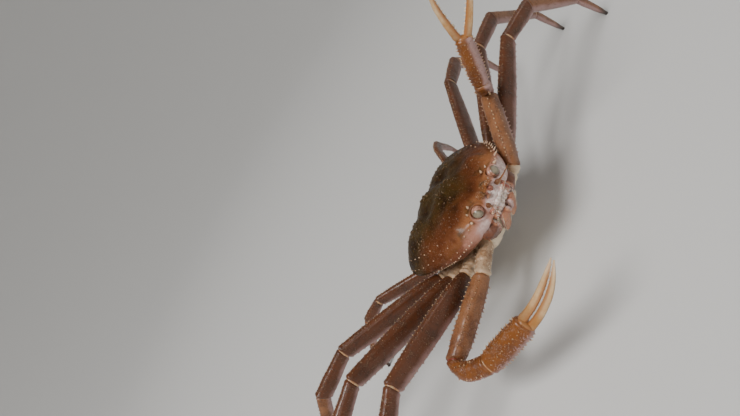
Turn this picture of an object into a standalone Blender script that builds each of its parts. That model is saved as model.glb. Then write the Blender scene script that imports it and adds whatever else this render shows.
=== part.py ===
"""A male snow crab as a still, life-size museum model, standing on its eight walking legs.

The crab faces -Y, its left side is +X and +Z is up. The body is drawn in millimetres in a frame
of its own (x to the crab's left, y to its back, z up, origin inside the shell at the level of the
side edge), then tipped nose-up and lifted onto its legs. The left claw is raised and open, the
right claw is folded in front of the face.
"""

import math
import random

import bmesh
import bpy
import numpy as np
from mathutils import Vector

MM = 0.001
GAP = 0.3  # between neighbouring pieces

# Driving dimensions, in millimetres and degrees.
NOSE_UP = 15.0
BODY_HEIGHT = 82.0  # origin of the body frame above the floor

# Top shell: stations along the body, y against half the width, crown height and wall depth.
HALF_WIDTH = [(-54, 11), (-50, 24), (-45, 31.5), (-36, 40.5), (-18, 52.5), (0, 58.7),
              (16, 60), (32, 58), (44, 50), (52, 38.5), (57, 25)]
CROWN = [(-54, 3.5), (-48, 6), (-38, 11.5), (-24, 16.5), (-6, 19.5), (20, 20), (36, 17), (49, 10), (57, 3)]
WALL = [(-54, 10.5), (-48, 12.5), (-38, 13.8), (-20, 14.2), (30, 14.2), (48, 11.5), (57, 6)]
# Swellings and grooves of the top shell: x, y, spread in x, spread in y, height. Those off the
# middle line come in pairs.
REGIONS = [(0, -17, 15, 12, 2.6), (0, 20, 8, 9, 2.6), (0, 41, 8, 6, 1.4), (33, 14, 16, 22, 3.4),
           (31, -29, 8, 7, 2.0), (16, 3, 5, 7, -2.4), (13, 27, 4, 12, -2.0), (24, -19, 5, 6, -1.6)]
# The wall under the side edge, as shares of half the width and of the depth: leaning inwards over
# the legs, steeper in front, and how steep it is at stations along the body.
UNDER_WALL = [(0.95, 0.25), (0.84, 0.6), (0.68, 1.0), (0.4, 1.0), (0.0, 1.0)]
STEEP_WALL = [(0.99, 0.3), (0.93, 0.7), (0.78, 1.0), (0.45, 1.0), (0.0, 1.0)]
STEEPNESS = [(-54, 1), (-26, 1), (-8, 0.3), (12, 0), (57, 0)]
TOP_STEPS = 18
SHELL_STATIONS = 23
END_CROWDING = 2.0  # how far stations are drawn towards the two ends
CROWN_ROUND = 0.85  # below 1 the cross-section is fuller than an ellipse
FULL_RELIEF_CROWN = 12.0  # the swellings fade where the crown is lower than this
# The flank of the shell beside the mouth field: level, front, outer side, back.
FLANK = [(-4, -44, 26.5, -35.3), (-11, -47.5, 29, -37.3), (-18, -48.5, 28, -36.5), (-28, -37.5, 20, -31.6)]
FLANK_INSIDE = 13.0
FLANK_FOOT = -34.2  # how far back its inner edge reaches
# Rows of tubercles along the side edge and one row further in, as shares of half the width, with
# their count, first and last station, height and radius at the front and at the back.
EDGE_ROWS = [(1.0, 13, -40, 40, 2.6, 1.5, 1.3, 1.0), (0.88, 9, -24, 38, 1.6, 1.2, 1.1, 0.9)]
# Clusters of tubercles on the swellings: x, y, spread, count.
CLUSTERS = [(0, -20, 13, 9), (0, 18, 7, 5), (34, 6, 14, 9), (27, 32, 12, 7), (26, -33, 7, 4)]
CLUSTER_HEIGHT = (0.8, 1.3)
CLUSTER_RADIUS = (0.9, 1.2)
CLUSTER_SPACING = 4.6
TUBERCLE_SINK = 1.8
# Larger spines at the front: root, direction, length, radius. The first is the rostral horn.
FRONT_SPINES = [((4.2, -51, 2.5), (0.14, -1, 0.1), 11.0, 2.6),
                ((25.5, -49, 1.5), (0.35, -1, 0.15), 4.0, 1.7),
                ((33.5, -41, 0.5), (0.8, -0.8, 0.1), 3.0, 1.5),
                ((15, -46.5, 7.6), (0.1, -0.6, 1), 2.2, 1.6),
                ((13, -53.5, -9), (0.3, -1, -0.1), 2.2, 1.5)]
# The ridge over the mouth field.
BROW = [(-13.5, -52, -8), (-9, -54.0, -8.6), (0, -54.4, -9.0), (9, -54.0, -8.6), (13.5, -52, -8)]
BROW_RADIUS = 1.9

EYE = (17, -52.5, 1.5)
EYE_RADIUS = 4.6
ORBIT_RADIUS = 5.7
STALK = (5.0, 2.0)  # length from the eye's centre, radius
STALK_TURN = (-0.8, 0.55, -0.2)
ANTENNA_ROOT = (9.5, -54.3, -3.5)
ANTENNA_LENGTH = 21.0
ANTENNA_LEAN = (0.2, -0.9, 0.05)
ANTENNA_SWEEP = (4, 0, 3)  # how far its tip is swept off the straight line
ANTENNA_RADIUS = [(0, 1.9), (0.15, 1.6), (0.2, 0.9), (1, 0.3)]

# Trunk under the shell: one flat facet for each limb, from the claw to the last leg.
TRUNK_TOP = -14.2
TRUNK_SIDE = -31.0
TRUNK_FLOOR = -34.5
TRUNK_WAIST = -24.0
TRUNK_REAR = 44.0
FLOOR_SHARE = 0.875  # width of the floor beside the walls above it
FLOOR_INSET = 5.0
FACET_TURN = [30, 14, 2, -12, -38]
FACET_LENGTH = [15, 15.5, 15.5, 15, 13]
THIRD_FACET = (34, 5)
SOCKET_HEIGHT = -24.3
MOUTH_TOP = (-47, -17)
MOUTH_FOOT = (-27, -34.5)
MOUTH_HALF = 12.6
# Raised plates of the sternum: half width of the furrow for the tail flap, inset, rise.
STERNUM_FURROW = 14.2
STERNUM_INSET = 0.9
STERNUM_RISE = 1.0
STERNUM_SINK = 1.5
STERNUM_FAN = 0.8  # the plates' inner ends lie closer together than their outer ends
# Outer mouthparts: how far above the mouth field they begin, length, half thickness, distance off
# the middle line, then share of the length against half width and share of the thickness, and
# the palp at the upper inner corner.
MOUTHPART_ABOVE = 2.6
MOUTHPART_LENGTH = 25.0
MOUTHPART_THICK = 2.2
MOUTHPART_OFF = 6.4
MOUTHPART = [(0, 2.8, 0.6), (0.08, 4.6, 1.0), (0.22, 5.6, 1.3), (0.36, 4.9, 0.8), (0.44, 5.6, 1.1),
             (0.7, 5.4, 1), (1, 4.4, 0.8)]
PALP = [(3.2, 3.0, 1.6), (3.4, 1.0, 4.6), (2.4, 5.5, 5.4), (1.9, 10.5, 4.6)]
PALP_RADIUS = [1.9, 2.1, 1.7, 0.8]

# Tail flap: y, z, half width and half thickness of its seven segments and their ends.
TAIL = [(58.8, -1.5, 12, 1.4), (59.1, -7, 13.6, 1.8), (56.6, -15, 14.6, 2.0), (52.6, -25, 15, 2.1),
        (49.0, -33, 13.8, 2.1), (42, -36.9, 12.4, 2.1), (29, -37.1, 10.2, 2.1), (12, -37.0, 7.4, 2.0),
        (-12, -36.95, 3.6, 1.5)]
SEAM_DEPTH = 0.55  # how far the seams between segments are let in

# Walking legs: turn forward of straight out on the right side and on the left, in degrees,
# then the lengths of merus, carpus, propodus and dactyl.
LEGS = {
    "leg2": (8, -3, 108, 44, 70, 45),
    "leg3": (-7, -13, 113, 46, 73, 47),
    "leg4": (-24, -28, 102, 42, 66, 43),
    "leg5": (-48, -51, 62, 26, 42, 30),
}
HIP_LENGTH = 21.0
HIP_RISE = 5.0
CARPUS_DROP = 32.0  # angle of the carpus below the merus
PROPODUS_FALL = -45.0
DACTYL_FALL = -70.0
LEG_TALL = (6.4, 9.4, 7.2, 6.0, 3.9)  # half heights of hip, merus, carpus, propodus, dactyl
LEG_WIDE = (6.3, 5.2, 5.0, 4.0, 3.2)
# Share of a piece's length against its share of that thickness.
LEG_PIECES = {
    "hip": [(0, 0.95), (0.35, 0.9), (0.7, 0.86), (1, 0.95)],
    "merus": [(0, 0.68), (0.1, 0.86), (0.3, 1), (0.6, 0.97), (0.9, 0.84), (1, 0.78)],
    "carpus": [(0, 0.86), (0.25, 0.9), (0.65, 1), (1, 0.98)],
    "propodus": [(0, 0.95), (0.12, 1), (0.4, 0.98), (0.8, 0.86), (1, 0.76)],
    "dactyl": [(0, 0.95), (0.15, 1), (0.5, 0.86), (0.8, 0.68), (0.93, 0.5), (1, 0.42)],
}
LAST_LEG_SHARE = 0.74  # thickness of the last pair beside the others
TOE_RADIUS = 1.6
# Spines of a leg piece: rows round the section (0 is the upper edge, 0.5 the lower), count,
# first and last share of the length, length, radius.
LEG_SPINES = {"merus": [(0.0, 7, 0.12, 0.94, 1.9, 1.0), (0.42, 4, 0.3, 0.9, 1.3, 0.9)],
              "carpus": [(0.0, 3, 0.3, 0.9, 1.5, 0.9)]}
ARM_SPINES = {"merus": [(0.05, 8, 0.12, 0.84, 2.2, 1.1), (0.62, 7, 0.15, 0.78, 2.0, 1.1),
                        (0.36, 6, 0.2, 0.8, 1.5, 1.0)],
              "carpus": [(0.04, 3, 0.35, 0.75, 2.2, 1.1), (0.3, 3, 0.3, 0.75, 1.7, 1.0)],
              "palm": [(0.04, 7, 0.12, 0.92, 2.4, 1.1), (0.96, 5, 0.15, 0.85, 1.8, 1.0),
                       (0.5, 7, 0.12, 0.92, 1.8, 1.0)]}
SPINE_LEAN = 0.35  # how far limb spines lean towards the tip of the limb
TEETH = (7, 0.14, 0.86, 1.3)  # count, first and last share of a finger, radius

# Claw arms: ends of hip, merus, carpus and palm in the body frame.
RIGHT_ARM = [(-51.5, -31.5, -27), (-117, -26, -32), (-113, -53, -44), (-84, -86, -43)]
LEFT_ARM = [(38.5, -34, -19.5), (95.5, -14.7, 14), (88.4, -34.7, 28.6), (98.8, -60.4, 62.7)]
ARM_TALL = (6.4, 7.6, 7.2, 8.6)
ARM_WIDE = (6.2, 6.8, 6.3, 6.4)
LEFT_SHARE = (1, 1, 0.9, 0.8)  # size of the left arm's hip, merus, carpus and palm
RIGHT_SHARE = (1, 1, 1, 1)
ARM_PIECES = {
    "hip": [(0, 0.95), (0.35, 0.9), (0.7, 0.86), (1, 0.95)],
    "merus": [(0, 0.76), (0.1, 0.86), (0.35, 1), (0.7, 1.02), (0.92, 0.94), (1, 0.86)],
    "carpus": [(0, 0.9), (0.15, 0.95), (0.32, 0.97), (0.5, 0.98), (0.68, 1), (0.85, 1), (1, 0.97)],
    "palm": [(0, 0.84), (0.15, 0.97), (0.45, 1), (0.8, 0.96), (1, 0.9)],
}
KNUCKLE = 1.5  # length of the end tangents of the curved carpus, as a share of its chord
FINGER_LENGTH = 48.0
FINGER_TALL = 3.2
FINGER_WIDE = 3.1
FINGER = [(0, 1), (0.15, 0.96), (0.35, 0.88), (0.6, 0.76), (0.82, 0.5), (1, 0.16)]
FINGER_CLEARANCE = 0.45  # between a closed finger's edge and the line between the fingers
FINGER_SINK = 4.0  # how far the fixed finger's root reaches into the palm
# Opening direction in the body frame, how far the moving and the fixed finger swing off that line,
# their bow, the curl towards the opening side that they share, and the height of their teeth.
LEFT_CLAW = ((-0.5, 0.45, 0.55), 12.0, 22.0, 1.0, 0.0, 1.2)
RIGHT_CLAW = ((0.35, 0.25, 1), 0.2, 0.2, 0.1, 14.0, 0.35)

RING_SIDES = 10
ROUNDNESS = 2.5


def material(name, colour, roughness):
    made = bpy.data.materials.new(name)
    made.use_nodes = True
    shader = made.node_tree.nodes["Principled BSDF"]
    shader.inputs["Base Color"].default_value = (*colour, 1)
    shader.inputs["Roughness"].default_value = roughness
    return made


def clear_scene():
    for thing in list(bpy.data.objects):
        bpy.data.objects.remove(thing)


def profile(stations, at):
    """A smooth line through the stations that never overshoots them (monotone cubic)."""
    x, y = np.array(stations, float).T
    at = np.clip(np.asarray(at, float), x[0], x[-1])
    step = np.diff(x)
    slope = np.diff(y) / step
    product = slope[:-1] * slope[1:]
    middle = np.where(product > 0, 2 * product / np.where(product > 0, slope[:-1] + slope[1:], 1), 0)
    tangent = np.concatenate([slope[:1], middle, slope[-1:]])
    i = np.clip(np.searchsorted(x, at, side="right") - 1, 0, len(step) - 1)
    t = (at - x[i]) / step[i]
    h = step[i]
    return ((1 + 2 * t) * (1 - t) ** 2 * y[i] + t * (1 - t) ** 2 * h * tangent[i]
            + t * t * (3 - 2 * t) * y[i + 1] + t * t * (t - 1) * h * tangent[i + 1])


def unit(v):
    v = np.asarray(v, float)
    return v / np.linalg.norm(v)


def to_world(points):
    """Body frame to standing frame: tipped nose-up about X and lifted."""
    points = np.asarray(points, float)
    c, s = math.cos(math.radians(NOSE_UP)), math.sin(math.radians(NOSE_UP))
    turn = np.array([[1, 0, 0], [0, c, s], [0, -s, c]])
    return points @ turn.T + np.array([0, 0, BODY_HEIGHT])


def turn_world(vector):
    return to_world(vector) - np.array([0, 0, BODY_HEIGHT])


def ring_mesh(name, rings):
    """A closed skin over rings of equal point count, with a flat face at each end."""
    count, sides = rings.shape[:2]
    mesh = bpy.data.meshes.new(name)
    index = np.arange(count * sides).reshape(count, sides)
    faces = []
    for i in range(count - 1):
        for j in range(sides):
            k = (j + 1) % sides
            faces.append((index[i, j], index[i, k], index[i + 1, k], index[i + 1, j]))
    faces.append(tuple(index[0][::-1]))
    faces.append(tuple(index[-1]))
    mesh.from_pydata((rings.reshape(-1, 3) * MM).tolist(), [], [tuple(map(int, f)) for f in faces])
    return outward(mesh)


def outward(mesh):
    shape = bmesh.new()
    shape.from_mesh(mesh)
    bmesh.ops.recalc_face_normals(shape, faces=shape.faces)
    if shape.calc_volume(signed=True) < 0:
        bmesh.ops.reverse_faces(shape, faces=shape.faces)
    shape.to_mesh(mesh)
    shape.free()
    return mesh


def place(name, mesh, look):
    made = bpy.data.objects.new(name, mesh)
    made.data.materials.append(look)
    bpy.context.scene.collection.objects.link(made)
    return made


def largest_shell(mesh):
    """Keeps the closed surface with the greatest volume and drops the rest."""
    shape = bmesh.new()
    shape.from_mesh(mesh)
    left = set(shape.verts)
    islands = []
    while left:
        start = left.pop()
        island = {start}
        queue = [start]
        while queue:
            for edge in queue.pop().link_edges:
                for vert in edge.verts:
                    if vert in left:
                        left.discard(vert)
                        island.add(vert)
                        queue.append(vert)
        islands.append(island)

    def reach(island):
        corners = np.array([v.co for v in island])
        return np.prod(np.ptp(corners, axis=0))

    keep = max(islands, key=reach)
    bmesh.ops.delete(shape, geom=[v for v in shape.verts if v not in keep], context="VERTS")
    shape.to_mesh(mesh)
    shape.free()


def combine(node, meshes, operation="UNION"):
    """One Boolean of the node with a collection of closed meshes, applied."""
    if not meshes:
        return
    group = bpy.data.collections.new(node.name + "_pieces")
    bpy.context.scene.collection.children.link(group)
    pieces = []
    for i, mesh in enumerate(meshes):
        piece = bpy.data.objects.new(f"{node.name}_piece_{i}", mesh)
        group.objects.link(piece)
        pieces.append(piece)
    boolean = node.modifiers.new("join", "BOOLEAN")
    boolean.operation = operation
    boolean.operand_type = "COLLECTION"
    boolean.collection = group
    boolean.solver = "EXACT"
    graph = bpy.context.evaluated_depsgraph_get()
    result = bpy.data.meshes.new_from_object(node.evaluated_get(graph))
    node.modifiers.clear()
    node.data = result
    for piece in pieces:
        bpy.data.objects.remove(piece)
    bpy.data.collections.remove(group)
    largest_shell(node.data)


def spine(root, direction, length, radius, sink=2.3, sides=5):
    """A tapered spine: a cone whose base is sunk below the surface point it stands on."""
    root = np.asarray(root, float)
    along = unit(direction)
    side = unit(np.cross(along, [0.31, 0.52, 0.8]))
    other = np.cross(along, side)
    angle = np.arange(sides) * 2 * math.pi / sides
    low = root - along * sink
    foot_radius = radius * (1 + 0.3 * sink / length)
    ring = low + foot_radius * (np.outer(np.cos(angle), side) + np.outer(np.sin(angle), other))
    mesh = bpy.data.meshes.new("spine")
    points = np.vstack([ring, root + along * length])
    faces = [(i, (i + 1) % sides, sides) for i in range(sides)] + [tuple(range(sides))[::-1]]
    mesh.from_pydata((points * MM).tolist(), [], faces)
    return outward(mesh)


def frames(path, up):
    """Unit vectors along a path, up from it and across it, at each of its points."""
    along = np.gradient(path, axis=0)
    along /= np.linalg.norm(along, axis=1)[:, None]
    up = np.broadcast_to(np.asarray(up, float), path.shape)
    up = up - (up * along).sum(1)[:, None] * along
    up /= np.linalg.norm(up, axis=1)[:, None]
    return along, up, np.cross(along, up)


def superellipse(turn, roundness=ROUNDNESS):
    """Up and across shares of a section at a share of the full turn."""
    c, s = np.cos(2 * math.pi * turn), np.sin(2 * math.pi * turn)
    return np.sign(c) * np.abs(c) ** (2 / roundness), np.sign(s) * np.abs(s) ** (2 / roundness)


def shares_along(path):
    length = np.concatenate([[0], np.cumsum(np.linalg.norm(np.diff(path, axis=0), axis=1))])
    return length / length[-1]


def limb_spines(path, up, tall, wide, rows):
    """Rows of spines standing on a loft: each row is its turn round the section, count, first
    and last share of the length, length and radius."""
    path = np.asarray(path, float)
    along, up, across = frames(path, up)
    shares = shares_along(path)
    made = []
    for turn, count, first, last, length, radius in rows:
        for i in range(count):
            share = first + (last - first) * (i + random.uniform(-0.2, 0.2)) / max(1, count - 1)
            centre, forward, high, side, half_tall, half_wide = (
                np.array([np.interp(share, shares, column) for column in np.atleast_2d(np.asarray(table).T)])
                for table in (path, along, up, across, tall, wide))
            c, s = superellipse(turn + random.uniform(-0.012, 0.012))
            root = centre + high * half_tall * c + side * half_wide * s
            out = unit(high * c + side * s) + forward * SPINE_LEAN
            made.append(spine(root, out, length * random.uniform(0.8, 1.2), radius))
    return made


def loft(path, up, tall, wide, start=None, end=None, sides=RING_SIDES, roundness=ROUNDNESS, reach=0.4):
    """Rings of a limb piece along a path. Each ring is a superellipse, tall along up and wide
    across it. Rings near an end lean over so that the end face lies in the plane given."""
    path = np.asarray(path, float)
    along, up, across = frames(path, up)
    c, s = superellipse((np.arange(sides) + 0.5) / sides, roundness)
    offset = (up[:, None] * (np.asarray(tall)[:, None] * c)[..., None]
              + across[:, None] * (np.asarray(wide)[:, None] * s)[..., None])
    share = shares_along(path)
    rings = path[:, None] + offset
    for plane, near, sign in ((start, share, 1), (end, 1 - share, -1)):
        if plane is None:
            continue
        lean = np.clip(1 - near / reach, 0, 1)
        slope = along @ plane
        shift = -(offset @ plane) / slope[:, None] * lean[:, None]
        rings = rings + along[:, None] * (shift + sign * (lean * GAP / 2 / np.abs(slope))[:, None])[..., None]
    return rings


def bent(a, b, start, end, shares):
    """A path that leaves a along start and reaches b along end (a Hermite curve)."""
    t = np.asarray(shares, float)[:, None]
    pull = KNUCKLE * np.linalg.norm(b - a)
    return ((1 + 2 * t) * (1 - t) ** 2 * a + t * t * (3 - 2 * t) * b
            + pull * (t * (1 - t) ** 2 * start + t * t * (t - 1) * end))


def straight(a, b, shares):
    shares = np.asarray(shares, float)[:, None]
    return np.asarray(a) * (1 - shares) + np.asarray(b) * shares


def shell_rings():
    """Cross-sections of the top shell, from the face to the rear edge."""
    share = np.linspace(0, 1, SHELL_STATIONS)
    first, last = HALF_WIDTH[0][0], HALF_WIDTH[-1][0]
    y = first + (last - first) * share - END_CROWDING * np.sin(2 * math.pi * share)
    wide, crown, wall = (profile(t, y)[:, None] for t in (HALF_WIDTH, CROWN, WALL))
    angle = np.linspace(0, math.pi, TOP_STEPS + 1)[None]
    top_x = wide * np.cos(angle)
    top_z = crown * np.sin(angle) ** CROWN_ROUND
    top_y = np.broadcast_to(y[:, None], top_x.shape)
    top_z = top_z + relief(top_x, top_y) * np.minimum(1, crown / FULL_RELIEF_CROWN) * np.sin(angle)
    steep = profile(STEEPNESS, y)[:, None, None]
    share, drop = np.moveaxis((1 - steep) * np.array(UNDER_WALL) + steep * np.array(STEEP_WALL), 2, 0)
    low_x = np.hstack([-share, share[:, -2::-1]]) * wide
    low_z = -np.hstack([drop, drop[:, -2::-1]]) * wall
    low_y = np.broadcast_to(y[:, None], low_x.shape)
    return np.dstack([np.hstack([top_x, low_x]), np.hstack([top_y, low_y]), np.hstack([top_z, low_z])])


def relief(x, y):
    """Summed height of the swellings and grooves, each a bell curve."""
    total = np.zeros(np.broadcast(x, y).shape)
    for at_x, at_y, spread_x, spread_y, height in REGIONS:
        for side in ((1, -1) if at_x else (1,)):
            reach = ((x - side * at_x) / spread_x) ** 2 + ((y - at_y) / spread_y) ** 2
            total += height * np.exp(-reach / 2)
    return total


def shell_top(x, y):
    """The height of the top shell over a point of the body plane."""
    wide, crown = profile(HALF_WIDTH, y), profile(CROWN, y)
    rise = math.sqrt(max(0.0, 1 - (x / wide) ** 2))
    return float(crown * rise ** CROWN_ROUND + relief(x, y) * min(1, crown / FULL_RELIEF_CROWN) * rise)


def shell_spine(x, y, height, radius):
    """A tubercle standing square on the top shell."""
    step = 0.5
    side = math.copysign(1, x)
    inner, outer = shell_top(x - side * step, y), shell_top(x, y)
    normal = (side * (inner - outer) / step, shell_top(x, y - step) - shell_top(x, y + step), 1)
    return spine(to_world((x, y, outer)), turn_world(normal), height, radius, TUBERCLE_SINK)


def edge_tubercles():
    """Rows along the side edge and just inside it, tallest in front."""
    made = []
    for share, count, first, last, *sizes in EDGE_ROWS:
        for i in range(count):
            along = i / (count - 1)
            y = first + (last - first) * along
            height = sizes[0] + (sizes[1] - sizes[0]) * along
            radius = sizes[2] + (sizes[3] - sizes[2]) * along
            for side in (1, -1):
                station = y + random.uniform(-1, 1)
                x = side * share * float(profile(HALF_WIDTH, station))
                tall = height * random.uniform(0.85, 1.15)
                if share == 1:
                    slope = profile(HALF_WIDTH, station + 1) - profile(HALF_WIDTH, station - 1)
                    out = turn_world((side, -float(slope) / 2, 0.25))
                    made.append(spine(to_world((x, station, 0.4)), out, tall, radius))
                else:
                    made.append(shell_spine(x, station, tall, radius))
    return made


def cluster_tubercles():
    """Low tubercles scattered over the swellings, kept apart from each other."""
    made = []
    taken = []
    for at_x, at_y, spread, count in CLUSTERS:
        for side in ((1, -1) if at_x else (1,)):
            found = 0
            while found < count:
                angle, reach = random.uniform(0, 2 * math.pi), spread * math.sqrt(random.random())
                x, y = side * at_x + reach * math.cos(angle), at_y + reach * math.sin(angle)
                if all(math.dist((x, y), other) > CLUSTER_SPACING for other in taken):
                    taken.append((x, y))
                    found += 1
                    sizes = random.uniform(*CLUSTER_HEIGHT), random.uniform(*CLUSTER_RADIUS)
                    made.append(shell_spine(x, y, *sizes))
                spread += 0.05
    return made


def face_pieces():
    """The rostral horns, the spines round the orbits, the flanks and the ridge over the mouth."""
    made = []
    for side in (1, -1):
        mirror = np.array([side, 1, 1])
        for root, direction, length, radius in FRONT_SPINES:
            made.append(spine(to_world(root * mirror), turn_world(direction * mirror), length, radius, 3.5, 6))
        made.append(ring_mesh("flank", to_world(flank_rings() * mirror)))
    size = np.full(len(BROW), BROW_RADIUS)
    made.append(ring_mesh("brow", to_world(loft(BROW, (0, 0, 1), size, size, sides=6))))
    return made


def flank_rings():
    """The part of the shell between the mouth field and the claw's socket, level by level."""
    rings = []
    for z, front, outer, back in FLANK:
        rings.append([(FLANK_INSIDE, front, z), (outer - 6, front + 0.6, z), (outer, front + 4, z),
                      (outer, back, z), (FLANK_INSIDE, FLANK_FOOT, z)])
    return np.array(rings, float)


def ball(name, centre, radius):
    """A sphere at a point of the body frame."""
    mesh = bpy.data.meshes.new(name)
    shape = bmesh.new()
    bmesh.ops.create_uvsphere(shape, u_segments=12, v_segments=8, radius=radius * MM)
    bmesh.ops.translate(shape, verts=shape.verts, vec=Vector(to_world(centre) * MM))
    shape.to_mesh(mesh)
    shape.free()
    return mesh


def build_carapace(look):
    node = place("carapace", ring_mesh("carapace", to_world(shell_rings())), look)
    orbits = [ball("orbit", (side * EYE[0], EYE[1], EYE[2]), ORBIT_RADIUS) for side in (1, -1)]
    combine(node, orbits, "DIFFERENCE")
    combine(node, face_pieces() + edge_tubercles() + cluster_tubercles())


def facet_chain():
    """Centres and corners of the left side's limb facets in the body plane, claw first."""
    turns = np.radians(FACET_TURN)
    forward = np.stack([-np.sin(turns), -np.cos(turns)], axis=1)
    half = np.array(FACET_LENGTH) / 2
    centres = [None] * 5
    centres[2] = np.array(THIRD_FACET, float)
    for i in (1, 0):
        centres[i] = centres[i + 1] + forward[i + 1] * half[i + 1] + forward[i] * half[i]
    for i in (3, 4):
        centres[i] = centres[i - 1] - forward[i - 1] * half[i - 1] - forward[i] * half[i]
    corners = [centres[i] + forward[i] * half[i] for i in range(5)] + [centres[4] - forward[4] * half[4]]
    return centres, corners


def build_trunk(look):
    """The sternum and the walls over the limb bases, with the mouth field sloping at the front."""
    corners = facet_chain()[1]
    rings = []
    levels = [(z, 1, TRUNK_REAR) for z in (TRUNK_TOP - GAP, TRUNK_WAIST, TRUNK_SIDE)]
    for z, size, rear in levels + [(TRUNK_FLOOR, FLOOR_SHARE, TRUNK_REAR - FLOOR_INSET)]:
        share = (z - MOUTH_TOP[1]) / (MOUTH_FOOT[1] - MOUTH_TOP[1])
        front = MOUTH_TOP[0] + share * (MOUTH_FOOT[0] - MOUTH_TOP[0])
        half = [(MOUTH_HALF / 2, front), (MOUTH_HALF, front), (MOUTH_HALF, max(front + 1, FLANK_FOOT + 0.8))]
        half += [tuple(c * size) for c in corners] + [(12, rear), (4, rear + 1.5)]
        outline = half + [(-x, y) for x, y in half[::-1]]
        rings.append([(x, y, z) for x, y in outline])
    node = place("thorax", ring_mesh("thorax", to_world(np.array(rings, float))), look)
    combine(node, sternum_plates([c * FLOOR_SHARE for c in corners]))


def sternum_plates(corners):
    """One raised plate for each limb, on both sides of the furrow that the tail flap lies in."""
    made = []
    for fore, aft in zip(corners[:-1], corners[1:]):
        along = unit(aft - fore)
        outline = [fore + along * STERNUM_INSET, aft - along * STERNUM_INSET,
                   np.array([STERNUM_FURROW, aft[1] * STERNUM_FAN - STERNUM_INSET]),
                   np.array([STERNUM_FURROW, fore[1] * STERNUM_FAN + STERNUM_INSET])]
        middle = sum(outline) / 4
        for side in (1, -1):
            rings = []
            for level, size in ((-STERNUM_SINK, 0.94), (0, 0.94), (STERNUM_RISE, 0.8)):
                spread = [middle + (corner - middle) * size for corner in outline]
                rings.append([(side * x, y, TRUNK_FLOOR - level) for x, y in spread])
            made.append(ring_mesh("sternum", to_world(np.array(rings))))
    return made


def build_pleon(look):
    """The narrow tail flap, from the rear edge of the shell round and under the trunk."""
    segments = np.array(TAIL, float)
    at = np.arange(len(segments))
    shares = np.concatenate([[0]] + [[i + 0.12, i + 0.5, i + 0.88, i + 1] for i in at[:-1]])
    y, z, wide, tall = (np.interp(shares, at, column) for column in segments.T)
    seam = np.isclose(shares % 1, 0)
    tall = tall - SEAM_DEPTH * seam
    wide = wide - SEAM_DEPTH * seam
    path = np.stack([np.zeros_like(y), y, z], axis=1)
    rings = loft(path, (0, 0.9, -0.45), tall, wide)
    place("pleon", ring_mesh("pleon", to_world(rings)), look)


def build_eyes(look):
    for side, name in ((1, "eye_left"), (-1, "eye_right")):
        mirror = np.array([side, 1, 1])
        centre = EYE * mirror
        length, radius = STALK
        path = np.array([centre, centre + unit(STALK_TURN * mirror) * length])
        stalk = loft(path, (0, 0, 1), [radius, radius], [radius, radius], sides=8)
        combine(place(name, ball(name, centre, EYE_RADIUS), look), [ring_mesh("stalk", to_world(stalk))])


def build_antennae(look):
    for side, name in ((1, "antenna_left"), (-1, "antenna_right")):
        mirror = np.array([side, 1, 1])
        share = np.linspace(0, 1, 7)
        path = (ANTENNA_ROOT * mirror + np.outer(share, ANTENNA_LEAN * mirror) * ANTENNA_LENGTH
                + np.outer(share ** 2, ANTENNA_SWEEP * mirror))
        thick = np.interp(share, *np.array(ANTENNA_RADIUS).T)
        rings = loft(path, (0, 0, 1), thick, thick, start=np.array([0, -1.0, 0]), sides=8, reach=0.2)
        place(name, ring_mesh(name, to_world(rings)), look)


def build_mouthparts(look):
    """The outer mouthparts: a long plate and a short plate lying on the mouth field."""
    slope = unit((0, MOUTH_FOOT[0] - MOUTH_TOP[0], MOUTH_FOOT[1] - MOUTH_TOP[1]))
    out = unit((0, slope[2], -slope[1]))
    origin = np.array([0, MOUTH_TOP[0], MOUTH_TOP[1]]) - slope * MOUTHPART_ABOVE
    for side, name in ((1, "maxilliped_left"), (-1, "maxilliped_right")):
        top = origin + np.array([side * MOUTHPART_OFF, 0, 0]) + out * (MOUTHPART_THICK + GAP)
        at, wide, size = np.array(MOUTHPART).T
        path = straight(top, top + slope * MOUTHPART_LENGTH, at)
        path += np.outer(np.maximum(size - 1, 0) * MOUTHPART_THICK, out)
        node = place(name, ring_mesh(name, to_world(loft(path, out, size * MOUTHPART_THICK, wide))), look)
        palp = [origin + np.array([side * x, 0, 0]) + slope * down + out * rise for x, down, rise in PALP]
        rings = loft(palp, (side, 0.1, 0.1), PALP_RADIUS, PALP_RADIUS, sides=7)
        combine(node, [ring_mesh("palp", to_world(rings))])


def joint_plane(before, after):
    """The normal of the plane that halves the bend between two runs."""
    return unit(unit(before) + unit(after))


def leg_joints(base, turn, side, lengths):
    """Joints of a walking leg in the standing frame. The merus rises just enough for the toe to
    reach the floor."""
    def step(elevation):
        e = math.radians(elevation)
        return np.array([side * math.cos(turn) * math.cos(e), -math.sin(turn) * math.cos(e), math.sin(e)])

    hip = base + HIP_LENGTH * step(HIP_RISE)
    merus, carpus, propodus, dactyl = lengths

    def chain(rise):
        points = [base, hip, hip + merus * step(rise)]
        for length, fall in ((carpus, rise - CARPUS_DROP), (propodus, PROPODUS_FALL), (dactyl, DACTYL_FALL)):
            points.append(points[-1] + length * step(fall))
        return points

    low, high = -20.0, 60.0
    for _ in range(50):
        middle = (low + high) / 2
        if chain(middle)[-1][2] < 0:
            low = middle
        else:
            high = middle
    return chain((low + high) / 2)


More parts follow.
